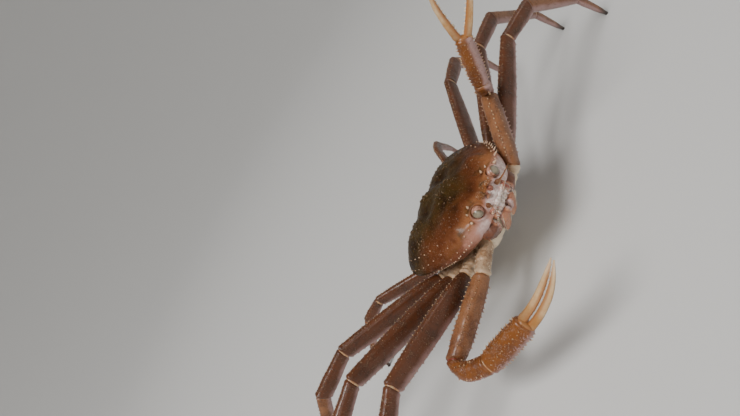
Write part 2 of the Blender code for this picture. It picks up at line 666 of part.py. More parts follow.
def build_leg(name, joints, facet, share, look):
    """One walking leg: hip, merus, carpus, propodus, and a dactyl cut level at its toe."""
    planes = [facet]
    for i in range(1, 5):
        planes.append(joint_plane(joints[i] - joints[i - 1], joints[i + 1] - joints[i]))
    planes.append(np.array([0, 0, -1.0]))
    for i, (piece, stations) in enumerate(LEG_PIECES.items()):
        at, size = np.array(stations).T
        tall, wide = size * LEG_TALL[i] * share, size * LEG_WIDE[i] * share
        path = straight(joints[i], joints[i + 1], at)
        if piece == "dactyl":
            tall[-1] = wide[-1] = TOE_RADIUS
            rings = loft(path, (0, 0, 1), tall, wide, planes[i], None, sides=8)
            rings[-1, :, 2] = 0
        else:
            rings = loft(path, (0, 0, 1), tall, wide, planes[i], planes[i + 1])
        node = place(f"{name}_{piece}", ring_mesh(f"{name}_{piece}", rings), look)
        combine(node, limb_spines(path, (0, 0, 1), tall, wide, LEG_SPINES.get(piece, [])))


def build_arm(name, base, facet, joints, claw, shares, look, finger_look):
    """One claw arm: hip, merus, carpus, palm with its fixed finger, and the moving finger."""
    points = [base] + [to_world(p) for p in joints]
    runs = [unit(b - a) for a, b in zip(points[:-1], points[1:])]
    enter, leave = unit(runs[1] + runs[2]), unit(runs[2] + runs[3])
    along = runs[3]
    planes = [facet, joint_plane(runs[0], runs[1]), joint_plane(runs[1], enter), joint_plane(leave, along)]
    planes.append(along)
    opening = turn_world(claw[0])
    opening = unit(opening - (opening @ along) * along)
    for i, (piece, stations) in enumerate(ARM_PIECES.items()):
        at, size = np.array(stations).T
        tall, wide = size * ARM_TALL[i] * shares[i], size * ARM_WIDE[i] * shares[i]
        up = opening if piece in ("palm", "carpus") else (0, 0, 1)
        if piece == "carpus":
            path = bent(points[i], points[i + 1], enter, leave, at)
        else:
            path = straight(points[i], points[i + 1], at)
        rings = loft(path, up, tall, wide, planes[i], planes[i + 1])
        node = place(f"{name}_{piece}", ring_mesh(f"{name}_{piece}", rings), look)
        pieces = limb_spines(path, up, tall, wide, ARM_SPINES.get(piece, []))
        if piece == "palm":
            pieces += finger_meshes(points[4], along, opening, -1, claw)
        combine(node, pieces)
    first, *teeth = finger_meshes(points[4], along, opening, 1, claw)
    combine(place(f"{name}_finger", first, finger_look), teeth)


def finger_meshes(root, along, opening, side, claw):
    """A finger and its teeth, on the opening side (1) or fixed to the palm (-1). Its inner edge
    swings off the line between the fingers, and both fingers curl to the opening side."""
    _, moving_swing, fixed_swing, bow, curl, tooth = claw
    share, size = np.array(FINGER).T
    swing = math.radians(moving_swing if side > 0 else fixed_swing)
    off = side * (size * FINGER_TALL + FINGER_CLEARANCE + bow * np.sin(share * math.pi)
                  + share * FINGER_LENGTH * math.sin(swing)) + curl * share ** 2
    path = root + np.outer(share * FINGER_LENGTH * math.cos(swing), along) + np.outer(off, opening)
    if side < 0:
        path[0] -= along * FINGER_SINK
    plane = along if side > 0 else None
    tall, wide = size * FINGER_TALL, size * FINGER_WIDE
    rings = loft(path, opening, tall, wide, plane, None, sides=8, roundness=2.2, reach=0.3)
    count, first, last, radius = TEETH
    row = (0.5 if side > 0 else 0.0, count, first, last, tooth, radius)
    return [ring_mesh("finger", rings)] + limb_spines(path, opening, tall, wide, [row])


def main():
    random.seed(7)
    clear_scene()
    shell = material("shell_brown", (0.33, 0.12, 0.06), 0.35)
    pale = material("shell_pale", (0.80, 0.66, 0.50), 0.4)
    limb = material("limb_orange", (0.62, 0.26, 0.10), 0.35)
    tips = material("finger_horn", (0.75, 0.42, 0.18), 0.3)
    eye = material("eye", (0.16, 0.18, 0.14), 0.15)
    build_carapace(shell)
    build_trunk(pale)
    build_pleon(pale)
    build_eyes(eye)
    build_antennae(limb)
    build_mouthparts(pale)
    centres = facet_chain()[0]
    for side, word in ((1, "left"), (-1, "right")):
        for i, leg in enumerate(["arm"] + list(LEGS)):
            turn = math.radians(FACET_TURN[i])
            facet = turn_world((side * math.cos(turn), -math.sin(turn), 0))
            base = to_world((side * centres[i][0], centres[i][1], SOCKET_HEIGHT)) + facet * GAP / 2
            if leg == "arm":
                joints, claw = (LEFT_ARM, LEFT_CLAW) if side > 0 else (RIGHT_ARM, RIGHT_CLAW)
                shares = LEFT_SHARE if side > 0 else RIGHT_SHARE
                build_arm(f"arm_{word}", base, facet, joints, claw, shares, limb, tips)
                continue
            right_turn, left_turn, *lengths = LEGS[leg]
            turn = math.radians(left_turn if side > 0 else right_turn)
            share = LAST_LEG_SHARE if leg == "leg5" else 1.0
            joints = leg_joints(base, turn, side, lengths)
            build_leg(f"{leg}_{word}", joints, facet, share, limb)
    settle()


def settle():
    """Parents every piece to one empty that puts the model's box over the origin."""
    stand = bpy.data.objects.new("stance", None)
    bpy.context.scene.collection.objects.link(stand)
    pieces = [thing for thing in bpy.data.objects if thing.type == "MESH"]
    corners = np.array([v.co for thing in pieces for v in thing.data.vertices])
    low, high = corners.min(axis=0), corners.max(axis=0)
    for thing in pieces:
        thing.parent = stand
        thing.data.shade_smooth()
    stand.location = (-(low[0] + high[0]) / 2, -(low[1] + high[1]) / 2, 0)


main()
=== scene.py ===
# %% [markdown]
# A snow crab, dressed.
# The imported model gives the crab's pieces as plain solids at their real size. This lesson lays
# the living surface over them: a granular shell, spined claw arms, flattened legs, pale joint
# skin and glassy eyes. Every shape here is a formula worked out on a whole grid of points with
# numpy, so one line moves thousands of points and no loop walks over vertices.

# %% Load the solid model
import math

import bpy
import numpy as np
from mathutils import Matrix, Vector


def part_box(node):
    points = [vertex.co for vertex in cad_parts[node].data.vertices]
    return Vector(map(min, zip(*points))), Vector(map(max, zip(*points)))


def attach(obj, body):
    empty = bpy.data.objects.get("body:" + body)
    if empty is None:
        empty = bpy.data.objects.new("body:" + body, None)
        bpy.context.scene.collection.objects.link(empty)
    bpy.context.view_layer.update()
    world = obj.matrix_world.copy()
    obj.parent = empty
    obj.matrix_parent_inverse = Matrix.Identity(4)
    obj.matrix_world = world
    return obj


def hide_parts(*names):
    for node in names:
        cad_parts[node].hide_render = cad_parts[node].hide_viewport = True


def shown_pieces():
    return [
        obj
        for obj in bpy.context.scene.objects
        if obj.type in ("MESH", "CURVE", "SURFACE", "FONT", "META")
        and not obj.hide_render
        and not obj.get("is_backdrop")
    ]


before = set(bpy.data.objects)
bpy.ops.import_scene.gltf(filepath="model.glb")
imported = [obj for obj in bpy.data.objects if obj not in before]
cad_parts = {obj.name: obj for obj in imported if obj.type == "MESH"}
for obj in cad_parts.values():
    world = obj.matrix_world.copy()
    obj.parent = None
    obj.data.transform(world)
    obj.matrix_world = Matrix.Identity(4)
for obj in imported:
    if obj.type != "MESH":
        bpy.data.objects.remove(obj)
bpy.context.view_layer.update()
print("solid model:", len(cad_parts), "nodes")

# %% [markdown]
# The crab is drawn lying level in a frame of its own, in millimetres: x to its left, y to its
# back, z up. Then it is tipped nose-up, lifted onto its legs and centred over the origin. The
# same turn could be given to each object, but a finished piece keeps its place in its mesh, so
# the points themselves are turned. The box of the left eye, a plain ball, says how far the
# solid model was moved when it was centred.

# %% Body frame and standing frame
MM = 0.001
GAP = 0.3
NOSE_UP = math.radians(15.0)
BODY_HEIGHT = 82.0
EYE = np.array([17, -52.5, 1.5])
EYE_RADIUS = 4.6
SIDES = {"left": 1, "right": -1}
MIRROR = {word: np.array([side, 1, 1]) for word, side in SIDES.items()}


def unit(v):
    """A vector, or each of a row of vectors, over its own length."""
    v = np.asarray(v, float)
    return v / np.linalg.norm(v, axis=-1, keepdims=True)


def turn_up(v):
    """Body directions to standing directions: a turn about X by the angle NOSE_UP."""
    c, s = math.cos(NOSE_UP), math.sin(NOSE_UP)
    return np.asarray(v, float) @ np.array([[1, 0, 0], [0, c, s], [0, -s, c]]).T


def stand_up(points):
    """Body points to standing points: the same turn, then a lift."""
    return turn_up(points) + np.array([0, 0, BODY_HEIGHT])


def place_object(name, data):
    """An object in the scene for a mesh, a light or a camera."""
    made = bpy.data.objects.new(name, data)
    bpy.context.scene.collection.objects.link(made)
    return made


eye_low, eye_high = (np.array(corner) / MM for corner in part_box("eye_left"))
eye_stands = stand_up(EYE)
CENTRING = np.array([eye_high[0] - EYE_RADIUS - eye_stands[0], eye_low[1] + EYE_RADIUS - eye_stands[1], 0])
print("centring shift in mm:", CENTRING.round(2))

# %% [markdown]
# The camera comes early, because every later choice is judged through it. The photograph looks
# down on the shell from the front right of the crab, with the camera rolled so far that the
# crab's left side points up in the picture. The place and the three directions are kept in the
# body frame, and the lens comes from the focal length in pixels of a frame 740 wide.

# %% Camera
CAMERA_AT = (-171.3, -436.0, 147.9)
CAMERA_RIGHT = (0.37654, -0.28596, -0.88116)
CAMERA_DOWN = (-0.87792, 0.19353, -0.43796)
CAMERA_FORWARD = (0.29577, 0.93850, -0.17817)
FOCAL_PIXELS = 600
FRAME_PIXELS = 740
SENSOR_MM = 36.0

camera_data = bpy.data.cameras.new("photo_camera")
camera_data.sensor_width = SENSOR_MM
camera_data.lens = SENSOR_MM * FOCAL_PIXELS / FRAME_PIXELS
camera_data.clip_start = 0.01
camera = place_object("photo_camera", camera_data)
axes = turn_up([CAMERA_RIGHT, -np.array(CAMERA_DOWN), -np.array(CAMERA_FORWARD)]).T
spot = (stand_up(CAMERA_AT) + CENTRING) * MM
camera.matrix_world = Matrix([[*axes[0], spot[0]], [*axes[1], spot[1]], [*axes[2], spot[2]], [0, 0, 0, 1]])
bpy.context.scene.camera = camera
print("camera at", spot.round(3))

# %% [markdown]
# Every piece of the crab is a surface over a grid of points. Three small tools are enough.
# A Surface holds points, faces and named values for each point, such as how far up a limb it
# lies. tube() closes a grid that runs round and caps both ends with a pole. spikes() makes any
# number of little spines at once, because they are all one grid with one more axis. A modifier
# could scatter instances instead, but a joined mesh keeps the shapes when it is exported.

# %% Surfaces from grids
VALUES = ("above", "along", "tip", "face")


class Surface:
    """Points in standing millimetres, four-cornered and three-cornered faces, values per point."""

    def __init__(self, points, quads, tris, **values):
        self.points, self.quads, self.tris = points, quads, tris
        self.values = {name: np.broadcast_to(values.get(name, 0.0), len(points)) for name in VALUES}

    def outward(self):
        """Turns every face round if the volume under the faces comes out negative."""
        a, b, c = (self.points[self.tris[:, i]] for i in range(3))
        total = (a * np.cross(b, c)).sum()
        for i, j, k in ((0, 1, 2), (0, 2, 3)):
            a, b, c = (self.points[self.quads[:, n]] for n in (i, j, k))
            total += (a * np.cross(b, c)).sum()
        if total < 0:
            self.quads, self.tris = self.quads[:, ::-1], self.tris[:, ::-1]
        return self

    def painted(self, **values):
        """The same surface with some of its values set anew."""
        self.values.update({name: np.broadcast_to(value, len(self.points)) for name, value in values.items()})
        return self


def ring_faces(rows, sides):
    """The numbers of a grid's points ring by ring, and the four-cornered faces between rings."""
    ring = np.arange(rows * sides).reshape(rows, sides)
    turned = np.roll(ring, -1, axis=1)
    return ring, np.stack([ring[:-1], turned[:-1], turned[1:], ring[1:]], axis=-1).reshape(-1, 4)


def tube(rings, **values):
    """A closed skin over rings of points: neighbours along and round are joined, and each end
    ring is closed on its own middle point."""
    rows, sides = rings.shape[-3:-1]
    grids = rings.reshape(-1, rows * sides, 3)
    points = np.concatenate([grids, rings[..., :1, :, :].mean(-2).reshape(-1, 1, 3),
                             rings[..., -1:, :, :].mean(-2).reshape(-1, 1, 3)], axis=1)
    ring, quads = ring_faces(rows, sides)
    low = np.stack([np.roll(ring[0], -1), ring[0], np.full(sides, rows * sides)], axis=-1)
    high = np.stack([ring[-1], np.roll(ring[-1], -1), np.full(sides, rows * sides + 1)], axis=-1)
    start = np.arange(len(points))[:, None, None] * points.shape[1]
    full = {}
    for name, value in values.items():
        value = np.broadcast_to(value, rings.shape[:-1]).reshape(-1, rows, sides)
        ends = value[:, [0, -1]].mean(-1)
        full[name] = np.concatenate([value.reshape(len(points), -1), ends], axis=1).ravel()
    made = Surface(points.reshape(-1, 3), (start + quads).reshape(-1, 4),
                   (start + np.vstack([low, high])).reshape(-1, 3), **full)
    return made.outward()


def joined(surfaces):
    """Several surfaces as one: points one after another, and the faces renumbered to match."""
    starts = np.cumsum([0] + [len(s.points) for s in surfaces[:-1]])
    values = {name: np.concatenate([s.values[name] for s in surfaces]) for name in VALUES}
    return Surface(np.vstack([s.points for s in surfaces]),
                   np.vstack([s.quads + n for s, n in zip(surfaces, starts)]),
                   np.vstack([s.tris + n for s, n in zip(surfaces, starts)]), **values)


# %% Pieces of the model
def make_piece(name, surface, look, slot, *nodes):
    """Puts a surface into a mesh with one finish and says which solids it stands for."""
    mesh = bpy.data.meshes.new(name)
    quads, tris = surface.quads, surface.tris
    points = (surface.points + CENTRING) * MM
    mesh.vertices.add(len(points))
    mesh.vertices.foreach_set("co", points.astype(np.float32).ravel())
    mesh.loops.add(quads.size + tris.size)
    mesh.loops.foreach_set("vertex_index", np.concatenate([quads.ravel(), tris.ravel()]).astype(np.int32))
    starts = np.concatenate([np.arange(len(quads)) * 4, quads.size + np.arange(len(tris)) * 3])
    mesh.polygons.add(len(starts))
    mesh.polygons.foreach_set("loop_start", starts.astype(np.int32))
    mesh.update(calc_edges=True)
    mesh.validate()
    for value in VALUES:
        layer = mesh.attributes.new(value, "FLOAT", "POINT")
        layer.data.foreach_set("value", surface.values[value].astype(np.float32))
    mesh.shade_smooth()
    mesh.materials.append(look)
    made = place_object(name, mesh)
    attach(made, "root")
    if nodes:
        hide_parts(*nodes)
    print(f"{name}: {2 * len(quads) + len(tris)} triangles")


# %% Spines and granules
SPINE = [(-0.35, 1.25), (0.0, 1.0), (0.4, 0.62), (0.8, 0.27), (1.0, 0.08)]
BEAD = [(-0.5, 1.1), (0.15, 1.0), (0.6, 0.78), (0.92, 0.36)]


def spikes(roots, out, tall, radius, form=SPINE, sides=6, above=0.5):
    """A little turned body on each root: the form lists heights and radii as shares of its own
    height and radius, and the same profile is carried round every axis at once."""
    out = unit(out)
    side = unit(np.cross(out, [0.31, 0.52, 0.8]))
    other = np.cross(out, side)
    height, girth = np.array(form).T
    angle = np.arange(sides) * 2 * math.pi / sides
    tall, radius = (np.broadcast_to(size, len(roots))[:, None, None, None] for size in (tall, radius))
    rim = side[:, None, None] * np.cos(angle)[:, None] + other[:, None, None] * np.sin(angle)[:, None]
    rings = (roots[:, None, None] + out[:, None, None] * tall * height[:, None, None]
             + rim * radius * girth[:, None, None])
    level = np.clip(height, 0, 1)[None, :, None]
    above = np.broadcast_to(above, len(roots))[:, None, None]
    return tube(rings, tip=level, above=above, along=0.5)


# %% [markdown]
# Smooth curves through a few named sizes shape the whole animal. profile() is a cubic that
# never swings past the sizes it is given, so a shell drawn from twelve widths has no false
# waves. ripple() adds the slight unevenness of a grown thing as a sum of a few waves, and its
# draws are seeded, so that the crab is the same each time.

# %% Curves and unevenness
def profile(stations, at):
    """A monotone cubic through the stations: the slope at each is the harmonic mean of its
    neighbours' slopes, or level where they disagree."""
    x, y = np.array(stations, float).T
    at = np.clip(np.asarray(at, float), x[0], x[-1])
    step = np.diff(x)
    slope = np.diff(y) / step
    product = slope[:-1] * slope[1:]
    middle = np.where(product > 0, 2 * product / np.where(product > 0, slope[:-1] + slope[1:], 1), 0)
    tangent = np.concatenate([slope[:1], middle, slope[-1:]])
    i = np.clip(np.searchsorted(x, at, side="right") - 1, 0, len(step) - 1)
    t = (at - x[i]) / step[i]
    h = step[i]
    return ((1 + 2 * t) * (1 - t) ** 2 * y[i] + t * (1 - t) ** 2 * h * tangent[i]
            + t * t * (3 - 2 * t) * y[i + 1] + t * t * (t - 1) * h * tangent[i + 1])


def crowded(count, pull=0.85):
    """Shares from 0 to 1, closer together at both ends: an even count less one sine wave."""
    share = np.linspace(0, 1, count)
    return share - pull * np.sin(2 * math.pi * share) / (2 * math.pi)


def ripple(u, v, seed, waves=7, fastest=6.0):
    """Unevenness over two parameters of period one: a sum of plane waves of drawn counts."""
    draw = np.random.default_rng(seed)
    total = 0.0
    for _ in range(waves):
        phase = draw.uniform(0, 2 * math.pi)
        along = draw.uniform(0.5, fastest) * u
        total = total + np.cos(2 * math.pi * (along + draw.integers(-3, 4) * v) + phase)
    return total / math.sqrt(waves)


def bell(x, width):
    """A bell curve of height one."""
    return np.exp(-((x / width) ** 2))


def bells(x, rows):
    """A sum of bell curves, each given by its height, its place and its width."""
    return sum(height * bell(x - at, width) for height, at, width in rows)


def profiles(table, at):
    """Smooth curves through the columns of a table whose first column holds the stations."""
    return [profile([(row[0], row[i]) for row in table], at) for i in range(1, len(table[0]))]


# %% [markdown]
# Shader maths reads best as plain arithmetic. A Value wraps one output socket, and adding or
# multiplying Values adds the Math nodes. A Finish is one material: it makes the texture nodes
# by name, mixes colours and ends in the Principled shader. The numbers that are the same all
# over are set on the shader itself, and only colour, roughness and the bump are painted.

# %% Finishes as expressions
COAT_ROUGHNESS, REFRACTION = 0.2, 1.5
SOFT_REACH, SOFT_SCALE_MM = (1.0, 0.45, 0.25), 2.0
GLOSS_LEAST, GLOSS_SPAN = 0.3, 0.18
NOISE_ROUGHNESS, BEAD_SCATTER = 0.55, 0.9


def operator(operation, turned=False):
    """A method of Value that adds one Math node, with its two inputs swapped if turned."""
    def method(self, other):
        """The Math node's own output, as a Value."""
        inputs = {0: other, 1: self} if turned else {0: self, 1: other}
        return self.finish.node("ShaderNodeMath", {"operation": operation}, inputs)
    return method


class Value:
    """One output socket. Sums, differences, products and powers add Math nodes to the material."""

    __add__, __mul__, __pow__ = operator("ADD"), operator("MULTIPLY"), operator("POWER")
    __sub__, __rsub__ = operator("SUBTRACT"), operator("SUBTRACT", True)

    def __init__(self, finish, socket):
        self.finish, self.socket = finish, socket


class Finish:
    """A material that is written as expressions on Values."""

    def __init__(self, name):
        self.material = bpy.data.materials.new(name)
        self.material.use_nodes = True
        self.tree = self.material.node_tree
        self.shader = self.tree.nodes["Principled BSDF"]
        self.place = self.node("ShaderNodeTexCoord", {}, {}, "Object")

    def node(self, kind, settings, inputs, output=0):
        """A node of a kind: its settings first, then a value or a link for each socket."""
        made = self.tree.nodes.new(kind)
        for name, value in settings.items():
            setattr(made, name, value)
        for key, value in inputs.items():
            self.set(made.inputs[key], value)
        return Value(self, made.outputs[output])

    def set(self, socket, value):
        """Links a Value to a socket, or sets the socket's own number or colour."""
        if isinstance(value, Value):
            self.tree.links.new(value.socket, socket)
        elif isinstance(value, tuple) and len(value) == 3 and socket.type == "RGBA":
            socket.default_value = (*value, 1)
        else:
            socket.default_value = value

    def attribute(self, name):
        """One of the values that every surface carries for its points."""
        return self.node("ShaderNodeAttribute", {"attribute_name": name}, {}, "Fac")

    def noise(self, size_mm, detail=3.0):
        """Clouds whose blotches are about size_mm across."""
        return self.node("ShaderNodeTexNoise", {}, {"Vector": self.place, "Scale": 1 / (size_mm * MM),
                                                    "Detail": detail, "Roughness": NOISE_ROUGHNESS},
                         "Fac")

    def beads(self, size_mm):
        """Rounded grains about size_mm across: high in the middle of each cell."""
        cells = {"Vector": self.place, "Scale": 1 / (size_mm * MM), "Randomness": BEAD_SCATTER}
        return self.step(self.node("ShaderNodeTexVoronoi", {"feature": "F1"}, cells, "Distance"), 0.55, 0.05)

    def gloss(self, speck):
        """Roughness that wanders a little with the specks."""
        return self.step(speck, 0.3, 0.75) * GLOSS_SPAN + GLOSS_LEAST

    def step(self, value, low, high):
        """Nought below low, one above high, and an S curve between."""
        return self.node("ShaderNodeMapRange", {"interpolation_type": "SMOOTHSTEP"},
                         {"Value": value, "From Min": low, "From Max": high}, "Result")

    def mix(self, factor, a, b):
        """Colour a where the factor is nought, b where it is one."""
        settings = {"data_type": "RGBA", "clamp_factor": True}
        return self.node("ShaderNodeMix", settings, {0: factor, 6: a, 7: b}, 2)

    def layers(self, colour, *coats):
        """Colours laid over one another, each as strongly as its factor says."""
        for factor, shade in coats:
            colour = self.mix(factor, colour, shade)
        return colour

    def done(self, colour, roughness, bump=None, depth_mm=0.2, strength=0.5, coat=0.5, soft=0.0, sheen=0.35):
        """Links the painted sockets and sets the even ones."""
        sockets = {"Base Color": colour, "Roughness": roughness, "Coat Weight": coat, "IOR": REFRACTION,
                   "Coat Roughness": COAT_ROUGHNESS, "Specular IOR Level": sheen}
        if bump is not None:
            relief_inputs = {"Height": bump, "Strength": strength, "Distance": depth_mm * MM}
            sockets["Normal"] = self.node("ShaderNodeBump", {}, relief_inputs, "Normal")
        if soft:
            sockets.update({"Subsurface Weight": soft, "Subsurface Radius": SOFT_REACH,
                            "Subsurface Scale": SOFT_SCALE_MM * MM})
        for name, value in sockets.items():
            self.set(self.shader.inputs[name], value)
        return self.material


# %% [markdown]
# A wet crab's colours lie in the shell itself: brown, rust and orange above, lilac to cream
# below, with grains and spine tips rubbed pale. So one recipe serves every plate. The value
# "above" says which way a point faces, blotches of two sizes break its edge up, and the grain
# of the shell shifts both the colour and the bump, so that each grain has a light crown.

# %% Colours of the crab
UMBER = (0.020, 0.009, 0.003)
OLIVE = (0.046, 0.026, 0.006)
RUST = (0.104, 0.030, 0.010)
WINE = (0.190, 0.066, 0.032)
SIENNA = (0.280, 0.108, 0.042)
ORANGE = (0.245, 0.102, 0.042)
AMBER = (0.195, 0.060, 0.008)
BROWN = (0.110, 0.034, 0.012)
DARK_LEG = (0.060, 0.021, 0.009)
LILAC = (0.380, 0.230, 0.210)
PINK = (0.560, 0.380, 0.350)
ROSE = (0.400, 0.125, 0.085)
FLUSH = (0.470, 0.225, 0.160)
PEACH = (0.520, 0.230, 0.120)
CREAM = (0.620, 0.430, 0.240)
BUFF = (0.640, 0.440, 0.290)
IVORY = (0.780, 0.640, 0.460)
PEARL = (0.740, 0.620, 0.560)
YELLOW = (0.440, 0.200, 0.045)
OCHRE = (0.260, 0.125, 0.050)
HONEY = (0.490, 0.335, 0.210)
DUST = (0.130, 0.080, 0.020)
BLACK_HORN = (0.020, 0.010, 0.006)
AMBER_EDGE = (0.350, 0.130, 0.035)
EYE_RIM = (0.080, 0.052, 0.027)
EYE_PAINTED_SHEEN = (0.270, 0.225, 0.155)
STALK = (0.200, 0.080, 0.035)
CHAMOIS = (0.560, 0.360, 0.190)
RUSSET = (0.450, 0.180, 0.070)
CRIMSON = (0.210, 0.030, 0.015)
TAN = (0.270, 0.100, 0.020)
PAPER = (0.600, 0.590, 0.570)
print("darkest and palest:", UMBER, IVORY)


# %% Shell plates
def plate_finish(name, crest, belly, dark, tip=CREAM, turn=(0.02, 0.42), grain_mm=1.1, grain=0.6,
                 coat=0.2, pores=0.7, claw_tip=None):
    """Shell plate: crest colour above, belly colour below, dark blotches and pores, pale grains
    and tips, and on a leg's last piece a dark, horny point."""
    f = Finish(name)
    cloud, speck = f.noise(14, 4), f.noise(2.6, 3)
    grains = f.beads(grain_mm) * f.step(f.noise(7, 2), 0.35, 0.6)
    above = f.attribute("above") + (cloud - 0.5) * 0.5
    upper = f.mix(f.step(cloud * 0.6 + speck * 0.4, 0.42, 0.66), crest, dark)
    colour = f.layers(belly, (f.step(above, *turn), upper), (f.beads(2.4) ** 8 * pores, dark))
    if claw_tip:
        colour = f.mix(f.step(f.attribute("along"), 0.55, 0.98), colour, claw_tip)
    colour = f.layers(colour, (grains * 0.35 * f.step(speck, 0.4, 0.7), tip),
                      (f.step(f.attribute("tip"), 0.25, 0.85), tip))
    height = grains * 0.7 + speck * 0.4 + f.noise(0.7, 2) * 0.15
    return f.done(colour, f.gloss(speck), height, depth_mm=0.45, strength=grain, coat=coat, soft=0.06)


# %% The back of the shell
def shell_finish(name):
    """The back of the shell: umber and olive at the rear, rust in front and along the sides, and
    a pale, flushed face. The front is wetter than the rear."""
    f = Finish(name)
    cloud, speck, wide = f.noise(11, 4), f.noise(2.2, 3), f.noise(30, 2)
    grains = f.beads(1.25)
    front = f.attribute("along") + (cloud - 0.5) * 0.5 + (wide - 0.5) * 0.5
    colour = f.layers(UMBER, (f.step(wide * 0.5 + cloud * 0.5, 0.42, 0.58), OLIVE),
                      (f.step(front, 0.43, 0.84), RUST),
                      (f.step(front, 0.74, 1.08), f.mix(f.step(cloud, 0.42, 0.7) * 0.7, SIENNA, OLIVE)),
                      (f.step(cloud * 0.5 + speck * 0.5, 0.5, 0.68) * 0.55, UMBER))
    spots = f.beads(5.5) ** 3 * f.step(speck, 0.4, 0.6) * f.step(front, 0.75, 0.2)
    colour = f.layers(colour, (spots * 0.6, DUST),
                      (f.step(0.5 - f.attribute("above") + (speck - 0.5) * 0.2, 0.1, 0.4), WINE),
                      (grains * f.step(speck, 0.5, 0.72) * 0.35, ROSE))
    face = f.attribute("face")
    flushed = face + (cloud - 0.5) * 0.5 + (speck - 0.5) * 0.2
    pale = f.mix(f.step(speck, 0.4, 0.6), PINK, PEARL)
    colour = f.layers(colour, (f.step(flushed, 0.12, 0.4) * f.step(face, 0.0, 0.1), FLUSH),
                      (f.step(flushed, 0.36, 0.6) * 0.8, PINK),
                      (f.step(face + (cloud - 0.5) * 0.6, 0.4, 0.85), pale),
                      (f.step(f.attribute("tip"), 0.0, 0.5), BUFF))
    height = grains * 0.55 + f.beads(0.6) * 0.25 + speck * 0.35
    wet = f.step(front, 0.3, 0.9) * 0.24 + 0.02
    return f.done(colour, f.gloss(speck), height, depth_mm=0.35, strength=0.7, coat=wet, soft=0.04,
                  sheen=0.04)


# %% Face, eyes, joint skin and fingers
def face_finish(name):
    """The face under the beak: wine and rust at the sides, partly their colour and partly painted
    shade under the shell's wall, then rose, and cream grains towards the mouth.
    """
    f = Finish(name)
    cloud, speck = f.noise(5, 4), f.noise(1.6, 3)
    colour = f.mix(f.step(cloud, 0.36, 0.62), ROSE, PEACH)
    front = f.attribute("face") + (cloud - 0.5) * 0.4
    # Wine and rust where face is low, at the cheeks' outer sides: partly colour, partly painted shade under
    # the shell's wall.
    colour = f.layers(f.mix(speck, WINE, RUST), (f.step(front, 0.15, 0.5), colour),
                      (f.step(front + (speck - 0.5) * 1.2, 0.45, 0.9), PEARL),
                      (f.step(f.attribute("tip"), 0.0, 0.4) * f.step(front, 0.2, 0.6), IVORY))
    height = f.beads(0.9) * 0.6 + speck * 0.4
    return f.done(colour, speck * 0.2 + 0.22, height, depth_mm=0.25, coat=0.5, soft=0.1)


def eye_finish(name):
    """A grey-green, glassy eye, paler in the middle as a painted sheen, on a stalk of brown and pink."""
    f = Finish(name)
    cap = f.attribute("above") + (f.noise(2.0, 2) - 0.5) * 0.15
    cloud = f.noise(2.6, 3)
    # The glass is dark at its rim and paler where it faces out: the pale middle is a painted sheen.
    glass = f.mix(f.step(cap + (cloud - 0.5) * 0.8, 0.3, 1.0), EYE_RIM, EYE_PAINTED_SHEEN)
    stalk = f.mix(f.step(cloud, 0.35, 0.6), STALK, FLUSH)
    colour = f.mix(f.step(cap, 0.4, 0.56), stalk, glass)
    return f.done(colour, f.noise(1.0) * 0.1 + 0.25, f.beads(0.25), depth_mm=0.03, strength=0.3, coat=0.5)


def skin_finish(name):
    """Soft, finely wrinkled joint skin: cream with a flush of orange, dark red in the elbow and
    tan under the fingers."""
    f = Finish(name)
    cloud, crease = f.noise(3, 3), f.noise(0.8, 4)
    colour = f.layers(CHAMOIS, (f.step(cloud, 0.4, 0.65), RUSSET), (f.attribute("face"), CRIMSON),
                      (f.attribute("tip") * 0.85, TAN))
    return f.done(colour, crease * 0.2 + 0.25, crease, depth_mm=0.25, coat=0.35, soft=0.2)


def horn_finish(name):
    """Claw fingers: yellow cream, with an orange-brown biting edge and a worn, pale tip."""
    f = Finish(name)
    cloud, speck = f.noise(14, 3), f.noise(1.5, 3)
    edge, along = f.attribute("above") + (cloud - 0.5) * 0.4, f.attribute("along")
    colour = f.layers(YELLOW, (f.step(cloud * 0.8 + speck * 0.2, 0.3, 0.7), CREAM),
                      (f.step(0.5 - along, 0.1, 0.5) * 0.6, AMBER),
                      (f.step(edge, 0.45, 0.9) * 0.85, AMBER_EDGE),
                      (f.step(along, 0.7, 1.0) * 0.5, IVORY),
                      (f.step(f.attribute("tip"), 0.0, 0.5), IVORY))
    return f.done(colour, speck * 0.16 + 0.24, speck, depth_mm=0.2, strength=0.5, coat=0.4, soft=0.1)


# %% Make the finishes
SHELL = shell_finish("wet_shell")
FACE = face_finish("pink_face")
LIMB = plate_finish("orange_limb", ORANGE, LILAC, BROWN, turn=(0.08, 0.46))
PALM = plate_finish("two_tone_palm", AMBER, LILAC, BROWN, turn=(0.22, 0.5))
LEG = plate_finish("brown_leg", BROWN, LILAC, DARK_LEG)
HIP = plate_finish("yellow_hip", HONEY, IVORY, OCHRE, tip=IVORY, turn=(0.1, 0.75), pores=0.3)
DOOR = plate_finish("peach_mouthpart", PEACH, PINK, ROSE, tip=IVORY, turn=(0.2, 0.8), grain_mm=0.8,
                    coat=0.3)
BELLY = plate_finish("cream_belly", WINE, IVORY, OCHRE, tip=IVORY, turn=(0.3, 0.95), grain=0.4, pores=0.3)
POINT = plate_finish("leg_point", ORANGE, LILAC, BROWN, claw_tip=BLACK_HORN, grain=0.3)
HORN = horn_finish("yellow_horn")
GLASS = eye_finish("glass_eye")
SKIN = skin_finish("joint_skin")
FEELER = plate_finish("feeler", ORANGE, YELLOW, BROWN, grain=0.3)
print("finishes:", len(bpy.data.materials))

# %% [markdown]
# The shell is one grid: y runs from the face to the rear edge, and a turn runs over the back
# from the left edge to the right and home again underneath. Half the width, the height of the
# crown and the depth of the wall are curves of y. Bell curves raise the swellings over the
# organs and sink the grooves between them. The grid could be a subdivided box pulled into
# shape, but a formula also tells where any spine's foot is and which way it points.

